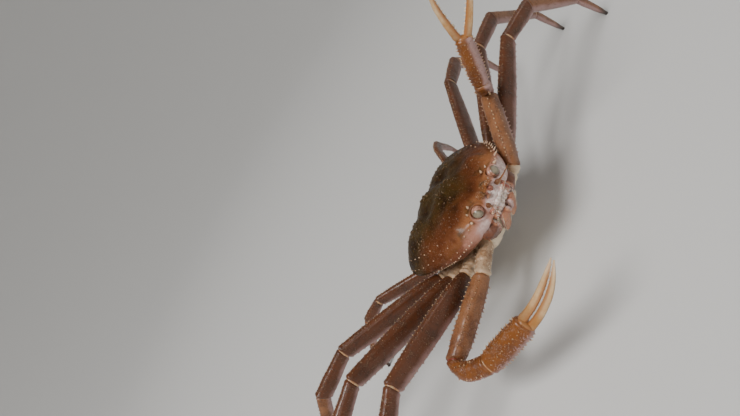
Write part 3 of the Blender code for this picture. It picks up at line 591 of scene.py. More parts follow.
# %% Sizes of the shell
HALF_WIDTH = [(-54, 11), (-50, 24), (-45, 31.5), (-36, 40.5), (-18, 52.5), (0, 58.7),
              (16, 60), (32, 58), (44, 50), (52, 38.5), (57, 25)]
CROWN = [(-54, 3.5), (-48, 6), (-38, 11.5), (-24, 16.5), (-6, 19.5), (20, 20), (36, 17), (49, 10),
         (57, 3)]
WALL = [(-54, 10.5), (-48, 12.5), (-38, 13.8), (-20, 14.2), (30, 14.2), (48, 11.5), (57, 6)]
# Swellings and grooves: x, y, their spreads along x and y, height.
REGIONS = [(0, -17, 15, 12, 2.6), (0, 20, 8, 9, 2.6), (0, 41, 8, 6, 1.4), (33, 14, 16, 22, 3.4),
           (31, -29, 8, 7, 2.0), (16, 3, 5, 7, -2.4), (13, 27, 4, 12, -2.0), (24, -19, 5, 6, -1.6)]
FINE_REGIONS = [(7, -36, 3.2, 5, 0.9), (0, -45, 1.6, 6, -0.8), (20, -38, 3, 4, -0.7), (0, -30, 2, 5, -0.6),
                (22, 10, 4, 5, 0.8), (40, -8, 5, 4, 0.8), (46, 18, 5, 7, 0.7), (34, 33, 6, 4, 0.8),
                (8, 4, 3, 4, 0.6), (24, -43, 2.0, 3.0, -1.3), (31, -38, 2.2, 2.6, 1.2),
                (36, -31, 1.8, 4.5, -1.1), (27, -36, 1.8, 3, -0.8)]
# Fine unevenness: height, size in mm, seed, number of waves, fastest wave.
SHELL_WAVES = [(0.22, 60, 3, 12, 5), (0.11, 21, 17, 14, 3)]
# The wall below the edge, leaning and steep: shares of half the width and of the depth, by the
# way inwards. STEEPNESS says which of the two holds at each y.
UNDER_X = [(0, 1), (0.12, 0.95), (0.3, 0.84), (0.5, 0.68), (0.75, 0.4), (1, 0)]
UNDER_DROP = [(0, 0), (0.12, 0.25), (0.3, 0.6), (0.5, 1), (1, 1)]
STEEP_X = [(0, 1), (0.12, 0.99), (0.3, 0.93), (0.5, 0.78), (0.75, 0.45), (1, 0)]
STEEP_DROP = [(0, 0), (0.12, 0.3), (0.3, 0.7), (0.5, 1), (1, 1)]
STEEPNESS = [(-54, 1), (-26, 1), (-8, 0.3), (12, 0), (57, 0)]
CROWN_ROUND = 0.85
FULL_RELIEF_CROWN = 12.0
NOSE_ROUND, REAR_ROUND = 1.4, 0.5
ORBIT_RADIUS = 5.3
ORBIT_AXIS = (0.5, -0.72, 0.48)
# The rim and the moat round an orbit: height, place, width.
ORBIT_RIM = [(1.5, 0.7, 0.9), (-0.6, 3.0, 1.2)]
RIM_START, RIM_FADE = 8, 4
POCKET = (3.6, -54.6, -1.2)
POCKET_WIDE, POCKET_DEEP = 2.6, 2.6
print("shell:", 2 * max(half for _, half in HALF_WIDTH), "mm wide")


# %% The shape of the shell
def relief(x, y):
    """Summed height of the swellings and grooves, each a bell curve, in mirrored pairs."""
    total = 0.0
    for at_x, at_y, spread_x, spread_y, height in REGIONS + FINE_REGIONS:
        for side in ((1, -1) if at_x else (1,)):
            away = ((x - side * at_x) / spread_x) ** 2 + ((y - at_y) / spread_y) ** 2
            total = total + height * np.exp(-away / 2)
    return total


def hollow_face(points):
    """Presses the orbits into the shell and raises their rims, and sinks the feelers' pockets.
    Inside an orbit a point goes back along the orbit's axis until it meets the ball's far side."""
    for mirror in MIRROR.values():
        axis = unit(np.array(ORBIT_AXIS) * mirror)
        offset = points - EYE * mirror
        depth = offset @ axis
        reach = np.sqrt(np.maximum((offset ** 2).sum(-1) - depth ** 2, 0))
        floor = -np.sqrt(np.maximum(ORBIT_RADIUS ** 2 - reach ** 2, 0))
        sunk = np.where(reach < ORBIT_RADIUS, np.minimum(depth, floor), depth)
        near = np.clip((depth + RIM_START) / RIM_FADE, 0, 1)
        rim = bells(reach - ORBIT_RADIUS, ORBIT_RIM) * near
        points = points + (sunk - depth + rim)[..., None] * axis
        offset = points - np.array(POCKET) * mirror
        dent = POCKET_DEEP * np.exp(-(offset ** 2).sum(-1) / POCKET_WIDE ** 2)
        points = points + dent[..., None] * np.array([0, 1, 0.2])
    return points


def shell_point(turn, y):
    """A point of the shell, in the body frame. Over the back, x is the half width times a cosine
    and z the crown times a power of the sine, plus the relief; below, both follow the wall,
    which is steeper in front than over the legs."""
    turn, y = np.broadcast_arrays(np.asarray(turn, float) % 1, np.asarray(y, float))
    wide, crown, wall = profile(HALF_WIDTH, y), profile(CROWN, y), profile(WALL, y)
    angle = 2 * math.pi * np.clip(turn, 0, 0.5)
    rise = np.maximum(np.sin(angle), 0)
    top_x = wide * np.cos(angle)
    uneven = sum(height * ripple(top_x / size, y / size, *rest) for height, size, *rest in SHELL_WAVES)
    top_z = crown * rise ** CROWN_ROUND + uneven * rise
    top_z = top_z + relief(top_x, y) * np.minimum(1, crown / FULL_RELIEF_CROWN) * rise
    across = np.clip(turn * 2 - 1, 0, 1)
    inward = 1 - np.abs(2 * across - 1)
    steep = profile(STEEPNESS, y)
    share, drop = ((1 - steep) * profile(lean, inward) + steep * profile(upright, inward)
                   for lean, upright in ((UNDER_X, STEEP_X), (UNDER_DROP, STEEP_DROP)))
    low_x = wide * share * np.where(across < 0.5, -1, 1)
    low_z = -wall * drop
    under = turn > 0.5
    x, z = np.where(under, low_x, top_x), np.where(under, low_z, top_z)
    past = np.maximum((HALF_WIDTH[0][0] - y) / NOSE_ROUND, (y - HALF_WIDTH[-1][0]) / REAR_ROUND)
    size = np.sqrt(np.clip(1 - np.clip(past, 0, 1) ** 2, 0, 1))
    middle = (crown - wall) / 2
    return hollow_face(np.stack([x * size, y, middle + (z - middle) * size], axis=-1))


def shell_normal(turn, y, step=0.25):
    """Which way the shell faces: the cross product of its two slopes, turned outwards."""
    along = shell_point(turn, y + step) - shell_point(turn, y - step)
    round_ = shell_point(turn + step / 300, y) - shell_point(turn - step / 300, y)
    return unit(np.cross(along, round_))


# %% What the shell's finish needs to know
WARM_MIDDLE, WARM_FORWARD, WARM_EDGE, WARM_NOSE, COOL_REAR = 0.42, 120, 0.45, 0.3, 250
MUZZLE_HALF, CHEEK_PALE, LEFT_CHEEK_PAINTED_LIGHT = 15, 0.55, 1.8
RIM_PALE = [(0.14, 1.0, 0.9)]


def ramp(x):
    """A value held between nought and one."""
    return np.clip(x, 0, 1)


def shell_paint(points):
    """The finish's values at points of the shell: up or down the wall, how far to the front and
    the edge, and how near the pale muzzle, the orbits and the flushed cheeks. The left cheek is
    flushed more than the right, as painted light."""
    x, y, z = np.abs(points[..., 0]), points[..., 1], points[..., 2]
    along = WARM_MIDDLE - y / WARM_FORWARD - np.clip(y, 0, 40) / COOL_REAR
    along = along + WARM_EDGE * (x / profile(HALF_WIDTH, y) - 0.5) + WARM_NOSE * ramp(-2.4 - y / 15)
    muzzle = ramp(-16.3 - y / 3) * bell(x, MUZZLE_HALF) * ramp(0.6 - z / 5)
    from_eye = np.linalg.norm(np.stack([x, y, z], axis=-1) - EYE, axis=-1)
    cheek = CHEEK_PALE * ramp(-1.2 - y / 22) * ramp(0.5 - z / 12) * ramp(x / 12 - 0.6)
    # The left cheek is painted paler than the right: painted light on that side.
    cheek = cheek * np.where(points[..., 0] > 0, LEFT_CHEEK_PAINTED_LIGHT, 1)
    face = np.maximum(muzzle, bells(from_eye - ORBIT_RADIUS, RIM_PALE) + cheek)
    return {"above": ramp(0.55 + z / 6), "along": along, "face": face}


# %% Build the shell
ROW_STEPS = [(-54, -43, 0.33), (-43, -20, 0.55), (-20, 44, 0.8), (44, 57, 0.4)]
BACK_TURNS, UNDER_TURNS = 230, 90

nose, rear = HALF_WIDTH[0][0], HALF_WIDTH[-1][0]
bend = np.sin(np.radians([84, 66, 48, 32, 16]))
shell_rows = np.concatenate([nose - NOSE_ROUND * bend, *[np.arange(*stretch) for stretch in ROW_STEPS],
                             [rear], rear + REAR_ROUND * bend[::-1]])
shell_turns = np.concatenate([np.linspace(0, 0.5, BACK_TURNS, endpoint=False),
                              np.linspace(0.5, 1, UNDER_TURNS, endpoint=False)])
grid_turn, grid_y = np.meshgrid(shell_turns, shell_rows)
shell_grid = shell_point(grid_turn, grid_y)
make_piece("shell_back", tube(stand_up(shell_grid), **shell_paint(shell_grid)), SHELL, "shell", "carapace")

# %% [markdown]
# Rows of cream tubercles follow the shell's edge, spines on the left side and beads on the wall
# of the right side, and more stand in loose groups on the swellings, among two thousand low
# grains. They are set on the shell by its own formula, so none floats or sinks, and each points
# square off the surface. Near the front they lengthen into true spines. They are two joined
# pieces, and each of their small turned bodies has thirty to fifty faces.

# %% Tubercles and spines of the shell
# Rows along the edge: turn in from the edge, count, first and last y, then height and radius in
# front and behind.
EDGE_ROWS = {
    "left": [(0.004, 19, -41, 45, 4.2, 1.3, 1.15, 0.75), (0.03, 14, -38, 36, 1.8, 0.8, 0.8, 0.55),
             (0.085, 7, -22, 30, 1.2, 0.8, 0.75, 0.6)],
    "right": [(-0.052, 30, -40, 42, 1.0, 1.1, 0.85, 1.0), (-0.02, 13, -30, 44, 1.2, 0.9, 0.6, 0.6),
              (0.04, 9, -30, 36, 1.1, 0.8, 0.65, 0.55), (0.085, 7, -22, 30, 1.1, 0.8, 0.75, 0.6)],
}
# Loose groups: x, y, spread, count.
CLUSTERS = [(0, -20, 13, 13), (0, 18, 7, 7), (34, 6, 15, 15), (27, 32, 13, 11), (26, -33, 8, 7),
            (45, -4, 8, 8)]
CLUSTER_PALENESS, GRAIN_PALENESS, LIMB_GRAIN_PALENESS = 0.17, 0.12, 0.42
GRAIN_COUNT = 2200
# Spines of the front: foot, direction, length, radius.
FRONT_SPINES = [((25.5, -49, 1.5), (0.35, -1, 0.15), 4.0, 1.6),
                ((33.5, -41, 0.5), (0.8, -0.8, 0.1), 3.0, 1.4),
                ((29.8, -45.4, 0.6), (0.6, -0.9, 0.1), 2.0, 1.0),
                ((15, -46.5, 7.6), (0.1, -0.6, 1), 2.2, 1.4),
                ((20.5, -46.5, 6.0), (0.4, -0.5, 1), 1.6, 1.1),
                ((13, -53.5, -9), (0.3, -1, -0.1), 2.2, 1.3)]
FRONT_SPINE_SINK = 0.8
print("tubercles in rows:", [sum(row[1] for row in rows) for rows in EDGE_ROWS.values()])

# %% Set the tubercles
draw = np.random.default_rng(11)


def on_shell(turn, y, tall, radius, form, sides=6, lift=0.0):
    """Spikes on the shell at a turn and a y, square to it, with a share of tilt outwards."""
    root, out = shell_point(turn, y), shell_normal(turn, y)
    out = out + lift * np.stack([np.sign(root[:, 0]), 0 * y - 0.3, 0 * y + 0.3], axis=-1)
    made = spikes(stand_up(root), turn_up(out), tall, radius, form, sides)
    return made.painted(**{name: np.repeat(value, len(made.points) // len(root))
                           for name, value in shell_paint(root).items()})


def edge_row(inset, count, first, last, tall_0, tall_1, girth_0, girth_1, side):
    """One row along the edge: even stations, slightly shuffled, and sizes that change evenly."""
    share = np.linspace(0, 1, count)
    y = first + (last - first) * share + draw.uniform(-0.7, 0.7, count)
    tall = (tall_0 + (tall_1 - tall_0) * share) * draw.uniform(0.75, 1.2, count)
    girth = (girth_0 + (girth_1 - girth_0) * share) * draw.uniform(0.85, 1.1, count)
    turn = np.full(count, inset if side > 0 else 0.5 - inset)
    return on_shell(turn, y, tall, girth, SPINE, 7, 0.3)


def cluster(x, y, spread, count):
    """A loose group of tubercles: points drawn evenly over a disc."""
    angle, reach = draw.uniform(0, 2 * math.pi, count), spread * np.sqrt(draw.uniform(0, 1, count))
    y = y + reach * np.sin(angle)
    cosine = np.clip((x + reach * np.cos(angle)) / profile(HALF_WIDTH, y), -0.97, 0.97)
    turn = np.arccos(cosine) / (2 * math.pi)
    made = on_shell(turn, y, draw.uniform(0.7, 1.2, count), draw.uniform(0.55, 1.0, count), BEAD, 7)
    return made.painted(tip=made.values["tip"] * CLUSTER_PALENESS)


tubercles = []
for word, side in SIDES.items():
    tubercles += [edge_row(*row, side) for row in EDGE_ROWS[word]]
    tubercles += [cluster(side * x, *rest) for x, *rest in CLUSTERS]
    foot, out, tall, girth = (np.array(column) for column in zip(*FRONT_SPINES))
    foot, out = foot * MIRROR[word], out * MIRROR[word]
    foot = stand_up(foot - unit(out) * FRONT_SPINE_SINK)
    front_spines = spikes(foot, turn_up(out), tall + FRONT_SPINE_SINK, girth, SPINE, 8, 0.9)
    tubercles.append(front_spines.painted(along=0.9, face=0.15))
make_piece("shell_tubercles", joined(tubercles), SHELL, "shell")

grain_y = draw.uniform(-51, 52, GRAIN_COUNT)
grain_turn = draw.uniform(-0.06, 0.56, GRAIN_COUNT)
grain_size = draw.uniform(0.28, 0.62, GRAIN_COUNT) * np.clip(1.6 + grain_y / 45, 0.55, 1)
grains = on_shell(grain_turn, grain_y, grain_size * 0.5, grain_size, BEAD)
make_piece("shell_grains", grains.painted(tip=grains.values["tip"] * GRAIN_PALENESS), SHELL, "shell")

# %% [markdown]
# The limbs share one formula. A section, a rounded oblong whose height and width are curves of
# the length, is carried along a straight or bent line. At each joint the end rings lean into
# the plane that halves the bend, so that neighbours meet face to face, and the rim rolls in a
# little, so that the pale joint skin shows as a line. Spines stand in rows along the limb and
# grains all over it, placed by the same formula.

# %% Limb tools
def frames(path, up):
    """Unit vectors along a path, up from it and across it, at each of its points."""
    along = unit(np.gradient(path, axis=0))
    up = np.broadcast_to(np.asarray(up, float), path.shape)
    up = unit(up - (up * along).sum(1)[:, None] * along)
    return along, up, np.cross(along, up)


def section(turn, roundness):
    """Up and across shares of a rounded oblong: a cosine and a sine, each to a power."""
    c, s = np.cos(2 * math.pi * turn), np.sin(2 * math.pi * turn)
    return np.sign(c) * np.abs(c) ** (2 / roundness), np.sign(s) * np.abs(s) ** (2 / roundness)


LEAST_SLOPE = 0.5
RIM_ROLL = [(0.15, 0, 0.8), (-0.04, 2.3, 1.1)]
SEAM_DIP = [(0.07, 0, 0.7), (-0.03, -2, 1.4)]
CREASE_SHARE = 0.16


# %% One piece of a limb

class Limb:
    """One piece of a limb: a path in standing millimetres with a section carried along it."""

    def __init__(self, path, up, tall, wide, roundness=2.5):
        self.path, self.tall, self.wide, self.roundness = path, tall, wide, roundness
        self.along, self.up, self.across = frames(path, up)
        steps = np.linalg.norm(np.diff(path, axis=0), axis=1)
        self.length = steps.sum()
        self.share = np.concatenate([[0], np.cumsum(steps)]) / self.length

    def skin(self, start=None, end=None, sides=40, reach=0.4, rims=(1, 1), seed=0, gap=GAP, rough=0.13,
             crease=0.0, above=None, seams=()):
        """The piece's surface: each ring is the section, uneven by a ripple, drawn in at the rims
        and seams and leaning over near an end so that its last ring lies in the plane given."""
        turn = np.arange(sides) / sides
        c, s = section(turn, self.roundness)
        near = self.share * self.length, (1 - self.share) * self.length
        size = 1.0
        for distance, rim in zip(near, rims):
            size = size - rim * bells(distance, RIM_ROLL)
        for seam in seams:
            size = size - bells(near[0] - seam * self.length, SEAM_DIP)
        swell = rough * ripple(self.share[:, None], turn[None], seed) / self.tall[:, None]
        swell = swell - crease * (bell(np.abs(s) - 1, CREASE_SHARE) / self.wide[:, None])
        girth = (size[:, None] if np.ndim(size) else size) + swell
        offset = (self.up[:, None] * (self.tall[:, None] * c)[..., None]
                  + self.across[:, None] * (self.wide[:, None] * s)[..., None]) * girth[..., None]
        rings = self.path[:, None] + offset
        for plane, ahead, sign in ((start, self.share, 1), (end, 1 - self.share, -1)):
            if plane is None:
                continue
            lean = np.clip(1 - ahead / reach, 0, 1)
            slope = np.maximum(self.along @ plane, LEAST_SLOPE)
            shift = -(offset @ plane) / slope[:, None] * lean[:, None]
            shift = shift + sign * (lean * gap / 2 / slope)[:, None]
            rings = rings + self.along[:, None] * shift[..., None]
        above = 0.5 + 0.5 * c if above is None else above(c, s)
        return tube(rings, above=above, along=self.share[:, None])

    def read(self, table, share):
        """Rows of a table along the path at other shares of the length, column by column."""
        table = table if table.ndim > 1 else table[:, None]
        return np.stack([np.interp(share, self.share, column) for column in table.T], axis=-1)

    def spikes(self, share, turn, tall, radius, form=SPINE, sides=6, lean=0.35):
        """Spikes on the section's edge at shares of the length and turns round it. They stand
        on the oblong's own slope and lean a little towards the limb's tip."""
        c, s = section(turn, self.roundness)
        high, wide = self.read(self.tall, share)[:, 0], self.read(self.wide, share)[:, 0]
        up, across = self.read(self.up, share), self.read(self.across, share)
        steep = self.roundness - 1
        out = unit(up * (np.sign(c) * np.abs(c) ** steep / high)[:, None]
                   + across * (np.sign(s) * np.abs(s) ** steep / wide)[:, None])
        root = self.read(self.path, share) + up * (high * c)[:, None] + across * (wide * s)[:, None]
        out = out + lean * self.read(self.along, share)
        return spikes(root, out, tall, radius, form, sides, 0.5 + 0.5 * c)

    def row(self, draw, turn, count, first, last, tall, radius, form=SPINE, sides=6):
        """A row of spikes along one line of the piece, shuffled and varied a little."""
        step = (np.arange(count) + draw.uniform(-0.25, 0.25, count)) / (count - 1)
        turn = turn + draw.uniform(-0.014, 0.014, count)
        tall = tall * draw.uniform(0.7, 1.25, count)
        radius = radius * draw.uniform(0.85, 1.1, count)
        return self.spikes(first + (last - first) * step, turn, tall, radius, form, sides)

    def grains(self, draw, count, size, first=0.05, last=0.95):
        """Low grains scattered all over the piece."""
        share, turn = draw.uniform(first, last, count), draw.uniform(0, 1, count)
        radius = draw.uniform(0.55, 1.15, count) * size
        made = self.spikes(share, turn, radius * 0.7, radius, BEAD, 6, 0.15)
        return made.painted(tip=made.values["tip"] * LIMB_GRAIN_PALENESS)


def joint_skin(limb, end, plane, size=0.89, thick=2.2):
    """The soft skin between two pieces: a flattened ball in the plane of the joint."""
    at = -1 if end else 0
    angle, turn = np.linspace(0.06, math.pi - 0.06, 11)[:, None], np.arange(32)[None] / 32
    c, s = section(turn, limb.roundness)
    offset = limb.up[at] * (limb.tall[at] * c * np.sin(angle))[..., None]
    offset = (offset + limb.across[at] * (limb.wide[at] * s * np.sin(angle))[..., None]) * size
    shift = -(offset @ plane) / (limb.along[at] @ plane) - thick * np.cos(angle)
    return tube(limb.path[at] + offset + limb.along[at] * shift[..., None], above=0.5)


# %% [markdown]
# Eight walking legs, flattened from front to back. Each has a short hip, a long merus, a
# carpus, a propodus and a pointed dactyl. How steeply the merus rises is found by halving, so
# that the toe just reaches the floor. The last pair is smaller. The edges carry rows of small
# spines, the lower sides are pale and the joints show cream skin.

# %% Places of the limbs round the body
FACET_TURN = [30, 14, 2, -12, -38]
FACET_LENGTH = [15, 15.5, 15.5, 15, 13]
THIRD_FACET = (34, 5)
SOCKET_HEIGHT = -24.3


def facet_chain():
    """Centres and corners of the left side's limb facets in the body plane, claw first."""
    turns = np.radians(FACET_TURN)
    forward = np.stack([-np.sin(turns), -np.cos(turns)], axis=1)
    half = np.array(FACET_LENGTH) / 2
    centres = [None] * 5
    centres[2] = np.array(THIRD_FACET, float)
    for i in (1, 0):
        centres[i] = centres[i + 1] + forward[i + 1] * half[i + 1] + forward[i] * half[i]
    for i in (3, 4):
        centres[i] = centres[i - 1] - forward[i - 1] * half[i - 1] - forward[i] * half[i]
    corners = [centres[i] + forward[i] * half[i] for i in range(5)] + [centres[4] - forward[4] * half[4]]
    return centres, corners


def facet_and_base(side, i):
    """The outward direction of a limb's facet and the point in its middle, standing."""
    turn = math.radians(FACET_TURN[i])
    facet = turn_up((side * math.cos(turn), -math.sin(turn), 0))
    x, y = facet_chain()[0][i]
    return facet, stand_up((side * x, y, SOCKET_HEIGHT)) + facet * GAP / 2


def straight(a, b, shares):
    """Points between a and b at shares of the way."""
    return a + np.asarray(shares)[:, None] * (b - a)


# %% Sizes of the walking legs
# Turns of the right and the left leg in degrees, then the lengths of merus, carpus, propodus
# and dactyl.
LEGS = {
    "leg2": (8, -3, 108, 44, 70, 45),
    "leg3": (-7, -13, 113, 46, 73, 47),
    "leg4": (-24, -28, 102, 42, 66, 43),
    "leg5": (-48, -51, 62, 26, 42, 30),
}
HIP_LENGTH, HIP_RISE, CARPUS_DROP, PROPODUS_FALL, DACTYL_FALL = 21.0, 5.0, 32.0, -45.0, -70.0
LEG_TALL = (6.4, 9.4, 7.2, 6.0, 3.9)
LEG_WIDE = (6.3, 5.2, 5.0, 4.0, 3.2)
LEG_PIECES = {
    "hip": [(0, 0.95), (0.35, 0.9), (0.7, 0.86), (1, 0.95)],
    "merus": [(0, 0.68), (0.1, 0.86), (0.3, 1), (0.6, 0.97), (0.9, 0.84), (1, 0.78)],
    "carpus": [(0, 0.86), (0.25, 0.9), (0.65, 1), (1, 0.98)],
    "propodus": [(0, 0.95), (0.12, 1), (0.4, 0.98), (0.8, 0.86), (1, 0.76)],
    "dactyl": [(0, 0.95), (0.15, 1), (0.5, 0.86), (0.8, 0.68), (0.93, 0.5), (1, 0.42)],
}
LAST_LEG_SHARE = 0.74
TOE_RADIUS = 1.6
FLOOR = np.array([0, 0, -1.0])
HIP_SEAMS = (0.33, 0.62)
# Rows of spines: turn round the limb, count, first and last share of its length, height, radius.
LEG_ROWS = {"merus": [(0.0, 26, 0.05, 0.97, 1.5, 0.7), (0.06, 14, 0.1, 0.95, 0.8, 0.55),
                      (0.94, 14, 0.1, 0.95, 0.8, 0.55), (0.42, 16, 0.15, 0.95, 1.0, 0.6),
                      (0.58, 16, 0.15, 0.95, 1.0, 0.6)],
            "carpus": [(0.0, 11, 0.12, 0.93, 1.2, 0.65), (0.1, 7, 0.15, 0.9, 0.7, 0.5),
                       (0.9, 7, 0.15, 0.9, 0.7, 0.5)],
            "propodus": [(0.0, 16, 0.06, 0.95, 0.7, 0.5), (0.5, 14, 0.06, 0.95, 0.6, 0.45)]}
LEG_GRAINS = {"hip": 50, "merus": 330, "carpus": 130, "propodus": 160}
LEG_LOOKS = {"hip": HIP, "merus": LEG, "carpus": LEG, "propodus": LIMB, "dactyl": POINT}
LEG_STYLES = {"hip": {"rough": 0.4, "seams": HIP_SEAMS}, "merus": {"rough": 0.1},
              "carpus": {"rough": 0.1}, "propodus": {"rough": 0.1},
              "dactyl": {"rough": 0, "reach": 0.12, "rims": (1, 0), "gap": 0}}
print("walking legs:", ", ".join(LEGS))


# %% Walking legs

def leg_joints(base, turn, side, lengths):
    """Joints of a leg: every run has its own fall, and the merus rises just enough for the toe
    to reach the floor, found by halving."""
    def step(elevation):
        """The direction of a run that rises by an angle in degrees."""
        e = math.radians(elevation)
        return np.array([side * math.cos(turn) * math.cos(e), -math.sin(turn) * math.cos(e), math.sin(e)])

    hip = base + HIP_LENGTH * step(HIP_RISE)
    merus, carpus, propodus, dactyl = lengths

    def chain(rise):
        """All joints if the merus rises by an angle in degrees."""
        points = [base, hip, hip + merus * step(rise)]
        for length, fall in ((carpus, rise - CARPUS_DROP), (propodus, PROPODUS_FALL), (dactyl, DACTYL_FALL)):
            points.append(points[-1] + length * step(fall))
        return points

    low, high = -20.0, 60.0
    for _ in range(50):
        middle = (low + high) / 2
        low, high = (middle, high) if chain(middle)[-1][2] < 0 else (low, middle)
    return chain((low + high) / 2)


def build_leg(name, joints, facet, share, seed):
    """Five skins, one set of spines and grains, and the skin of the joints between them. A hip
    has a colour of its own, so its grains are joined to its skin."""
    draw = np.random.default_rng(seed)
    runs = [unit(b - a) for a, b in zip(joints[:-1], joints[1:])]
    planes = [facet, *[unit(a + b) for a, b in zip(runs[:-1], runs[1:])], FLOOR]
    spines, skins = [], []
    for i, (piece, stations) in enumerate(LEG_PIECES.items()):
        toe = piece == "dactyl"
        at = crowded(72 if piece == "merus" else 52)
        size = profile(stations, at) * share
        tall, wide = size * LEG_TALL[i], size * LEG_WIDE[i]
        if toe:
            blend = np.clip((at - 0.8) / 0.2, 0, 1)
            tall, wide = (x + (TOE_RADIUS - x) * blend for x in (tall, wide))
        limb = Limb(straight(joints[i], joints[i + 1], at), (0, 0, 1), tall, wide)
        skin = limb.skin(planes[i], planes[i + 1], 36, seed=seed * 7 + i, crease=0.25, **LEG_STYLES[piece])
        if toe:
            skin.points[:, 2] = np.maximum(skin.points[:, 2], 0)
        spiny = [limb.row(draw, *row) for row in LEG_ROWS.get(piece, [])]
        if not toe:
            spiny.append(limb.grains(draw, LEG_GRAINS[piece], 0.42))
        if piece == "hip":
            skin = joined([skin, *spiny])
        else:
            spines += spiny
        make_piece(f"{name}_{piece}_skin", skin, LEG_LOOKS[piece], "limb", f"{name}_{piece}")
        skins.append(joint_skin(limb, False, planes[i]))
    make_piece(f"{name}_spines", joined(spines), LEG, "limb")
    make_piece(f"{name}_joints", joined(skins), SKIN, "underside")


for word, side in SIDES.items():
    for i, (leg, (right_turn, left_turn, *lengths)) in enumerate(LEGS.items()):
        facet, base = facet_and_base(side, i + 1)
        turn = math.radians(left_turn if side > 0 else right_turn)
        share = LAST_LEG_SHARE if leg == "leg5" else 1.0
        build_leg(f"{leg}_{word}", leg_joints(base, turn, side, lengths), facet, share, 20 + 2 * i + side)

# %% [markdown]
# The claw arms are posed point by point: the left one is raised and open, the right
# one folded in front of the face and shut. Their carpus is a bent line that leaves one piece
# and enters the next squarely, a Hermite curve. The fingers are lofts too, which bow apart and
# curl, with a groove along each side and a row of ivory teeth. The warmth of an arm lowers the
# line on carpus and palm below which they are lilac, and its grit is its share of grains.

# %% Sizes of the claw arms
RIGHT_ARM = [(-51.5, -31.5, -27), (-117, -26, -32), (-113, -53, -44), (-84, -86, -43)]
LEFT_ARM = [(38.5, -34, -19.5), (95.5, -14.7, 14), (88.4, -34.7, 28.6), (98.8, -60.4, 62.7)]
ARM_TALL = (6.4, 7.6, 7.2, 8.6)
ARM_WIDE = (6.2, 6.8, 6.3, 6.4)
LEFT_SHARE = (1, 1, 0.9, 0.8)
RIGHT_SHARE = (1, 1, 1, 1)
LEFT_WARMTH, RIGHT_WARMTH = 0.0, 0.28
LEFT_GRIT, RIGHT_GRIT = 0.55, 1.0
ARM_PIECES = {
    "hip": [(0, 0.95), (0.35, 0.9), (0.7, 0.86), (1, 0.95)],
    "merus": [(0, 0.76), (0.1, 0.86), (0.35, 1), (0.7, 1.02), (0.92, 0.94), (1, 0.86)],
    "carpus": [(0, 0.9), (0.15, 0.95), (0.32, 0.97), (0.5, 0.98), (0.68, 1), (0.85, 1), (1, 0.97)],
    "palm": [(0, 0.84), (0.15, 0.97), (0.45, 1), (0.8, 0.96), (1, 0.9)],
}
KNUCKLE = 1.5
FINGER_LENGTH, FINGER_TALL, FINGER_WIDE = 48.0, 3.2, 3.1
FINGER = [(0, 1), (0.15, 0.96), (0.35, 0.88), (0.6, 0.76), (0.82, 0.5), (1, 0.16)]
FINGER_CLEARANCE, FINGER_SINK = 0.45, 4.0
# A claw's opening direction, the swings of the moving (1) and the fixed finger (-1) in degrees,
# how far they bow and curl, and the height of the teeth.
LEFT_CLAW = {"opens": (-0.5, 0.45, 0.55), "swing": {1: 12.0, -1: 22.0}, "bow": 1.0, "curl": 0.0, "teeth": 1.2}
RIGHT_CLAW = {"opens": (0.35, 0.25, 1), "swing": {1: 0.2, -1: 0.2}, "bow": 0.1, "curl": 14.0, "teeth": 0.35}
TOOTH_COUNT, FIRST_TOOTH, LAST_TOOTH, TOOTH_RADIUS = 15, 0.1, 0.9, 0.85
ARM_ROWS = {"hip": [(0.1, 6, 0.2, 0.85, 1.0, 0.7)],
            "merus": [(0.05, 15, 0.08, 0.86, 2.1, 0.95), (0.62, 13, 0.12, 0.8, 1.9, 0.9),
                      (0.36, 12, 0.14, 0.82, 1.5, 0.85), (0.88, 12, 0.1, 0.85, 1.2, 0.75),
                      (0.18, 10, 0.12, 0.85, 1.0, 0.7)],
            "carpus": [(0.04, 6, 0.25, 0.8, 2.0, 0.9), (0.3, 6, 0.2, 0.8, 1.6, 0.85),
                       (0.82, 5, 0.2, 0.8, 1.2, 0.8)],
            "palm": [(0.04, 14, 0.08, 0.94, 2.2, 0.95), (0.96, 12, 0.1, 0.9, 1.7, 0.85),
                     (0.5, 15, 0.08, 0.94, 1.9, 0.9), (0.44, 10, 0.12, 0.9, 1.1, 0.7),
                     (0.75, 10, 0.12, 0.9, 0.9, 0.7), (0.25, 10, 0.12, 0.9, 0.9, 0.7)]}
ARM_GRAINS = {"hip": 150, "merus": 700, "carpus": 260, "palm": 600}
ARM_LOOKS = {"hip": HIP, "merus": LIMB, "carpus": PALM, "palm": PALM}
ARM_STYLES = {"hip": {"seams": HIP_SEAMS}, "merus": {}, "carpus": {"reach": 0.25}, "palm": {}}
ARMS = {"left": (LEFT_ARM, LEFT_CLAW, LEFT_SHARE, LEFT_WARMTH, LEFT_GRIT),
        "right": (RIGHT_ARM, RIGHT_CLAW, RIGHT_SHARE, RIGHT_WARMTH, RIGHT_GRIT)}
print("claw arms:", ", ".join(ARMS))


# %% Claw arms

def bent(a, b, start, end, shares):
    """A Hermite curve that leaves a along start and reaches b along end."""
    t = np.asarray(shares, float)[:, None]
    pull = KNUCKLE * np.linalg.norm(b - a)
    return ((1 + 2 * t) * (1 - t) ** 2 * a + t * t * (3 - 2 * t) * b
            + pull * (t * (1 - t) ** 2 * start + t * t * (t - 1) * end))


def finger(root, along, opening, side, claw):
    """A finger on the opening side (1) or fixed to the palm (-1): a loft along a line that
    swings off the line between the fingers, bows by a half sine and curls by a square."""
    share = crowded(64)
    size = profile(FINGER, share)
    swing = math.radians(claw["swing"][side])
    off = side * (size * FINGER_TALL + FINGER_CLEARANCE + claw["bow"] * np.sin(share * math.pi)
                  + share * FINGER_LENGTH * math.sin(swing)) + claw["curl"] * share ** 2
    path = root + np.outer(share * FINGER_LENGTH * math.cos(swing), along) + np.outer(off, opening)
    if side < 0:
        path[0] -= along * FINGER_SINK
    return Limb(path, opening, size * FINGER_TALL, size * FINGER_WIDE, 2.2)


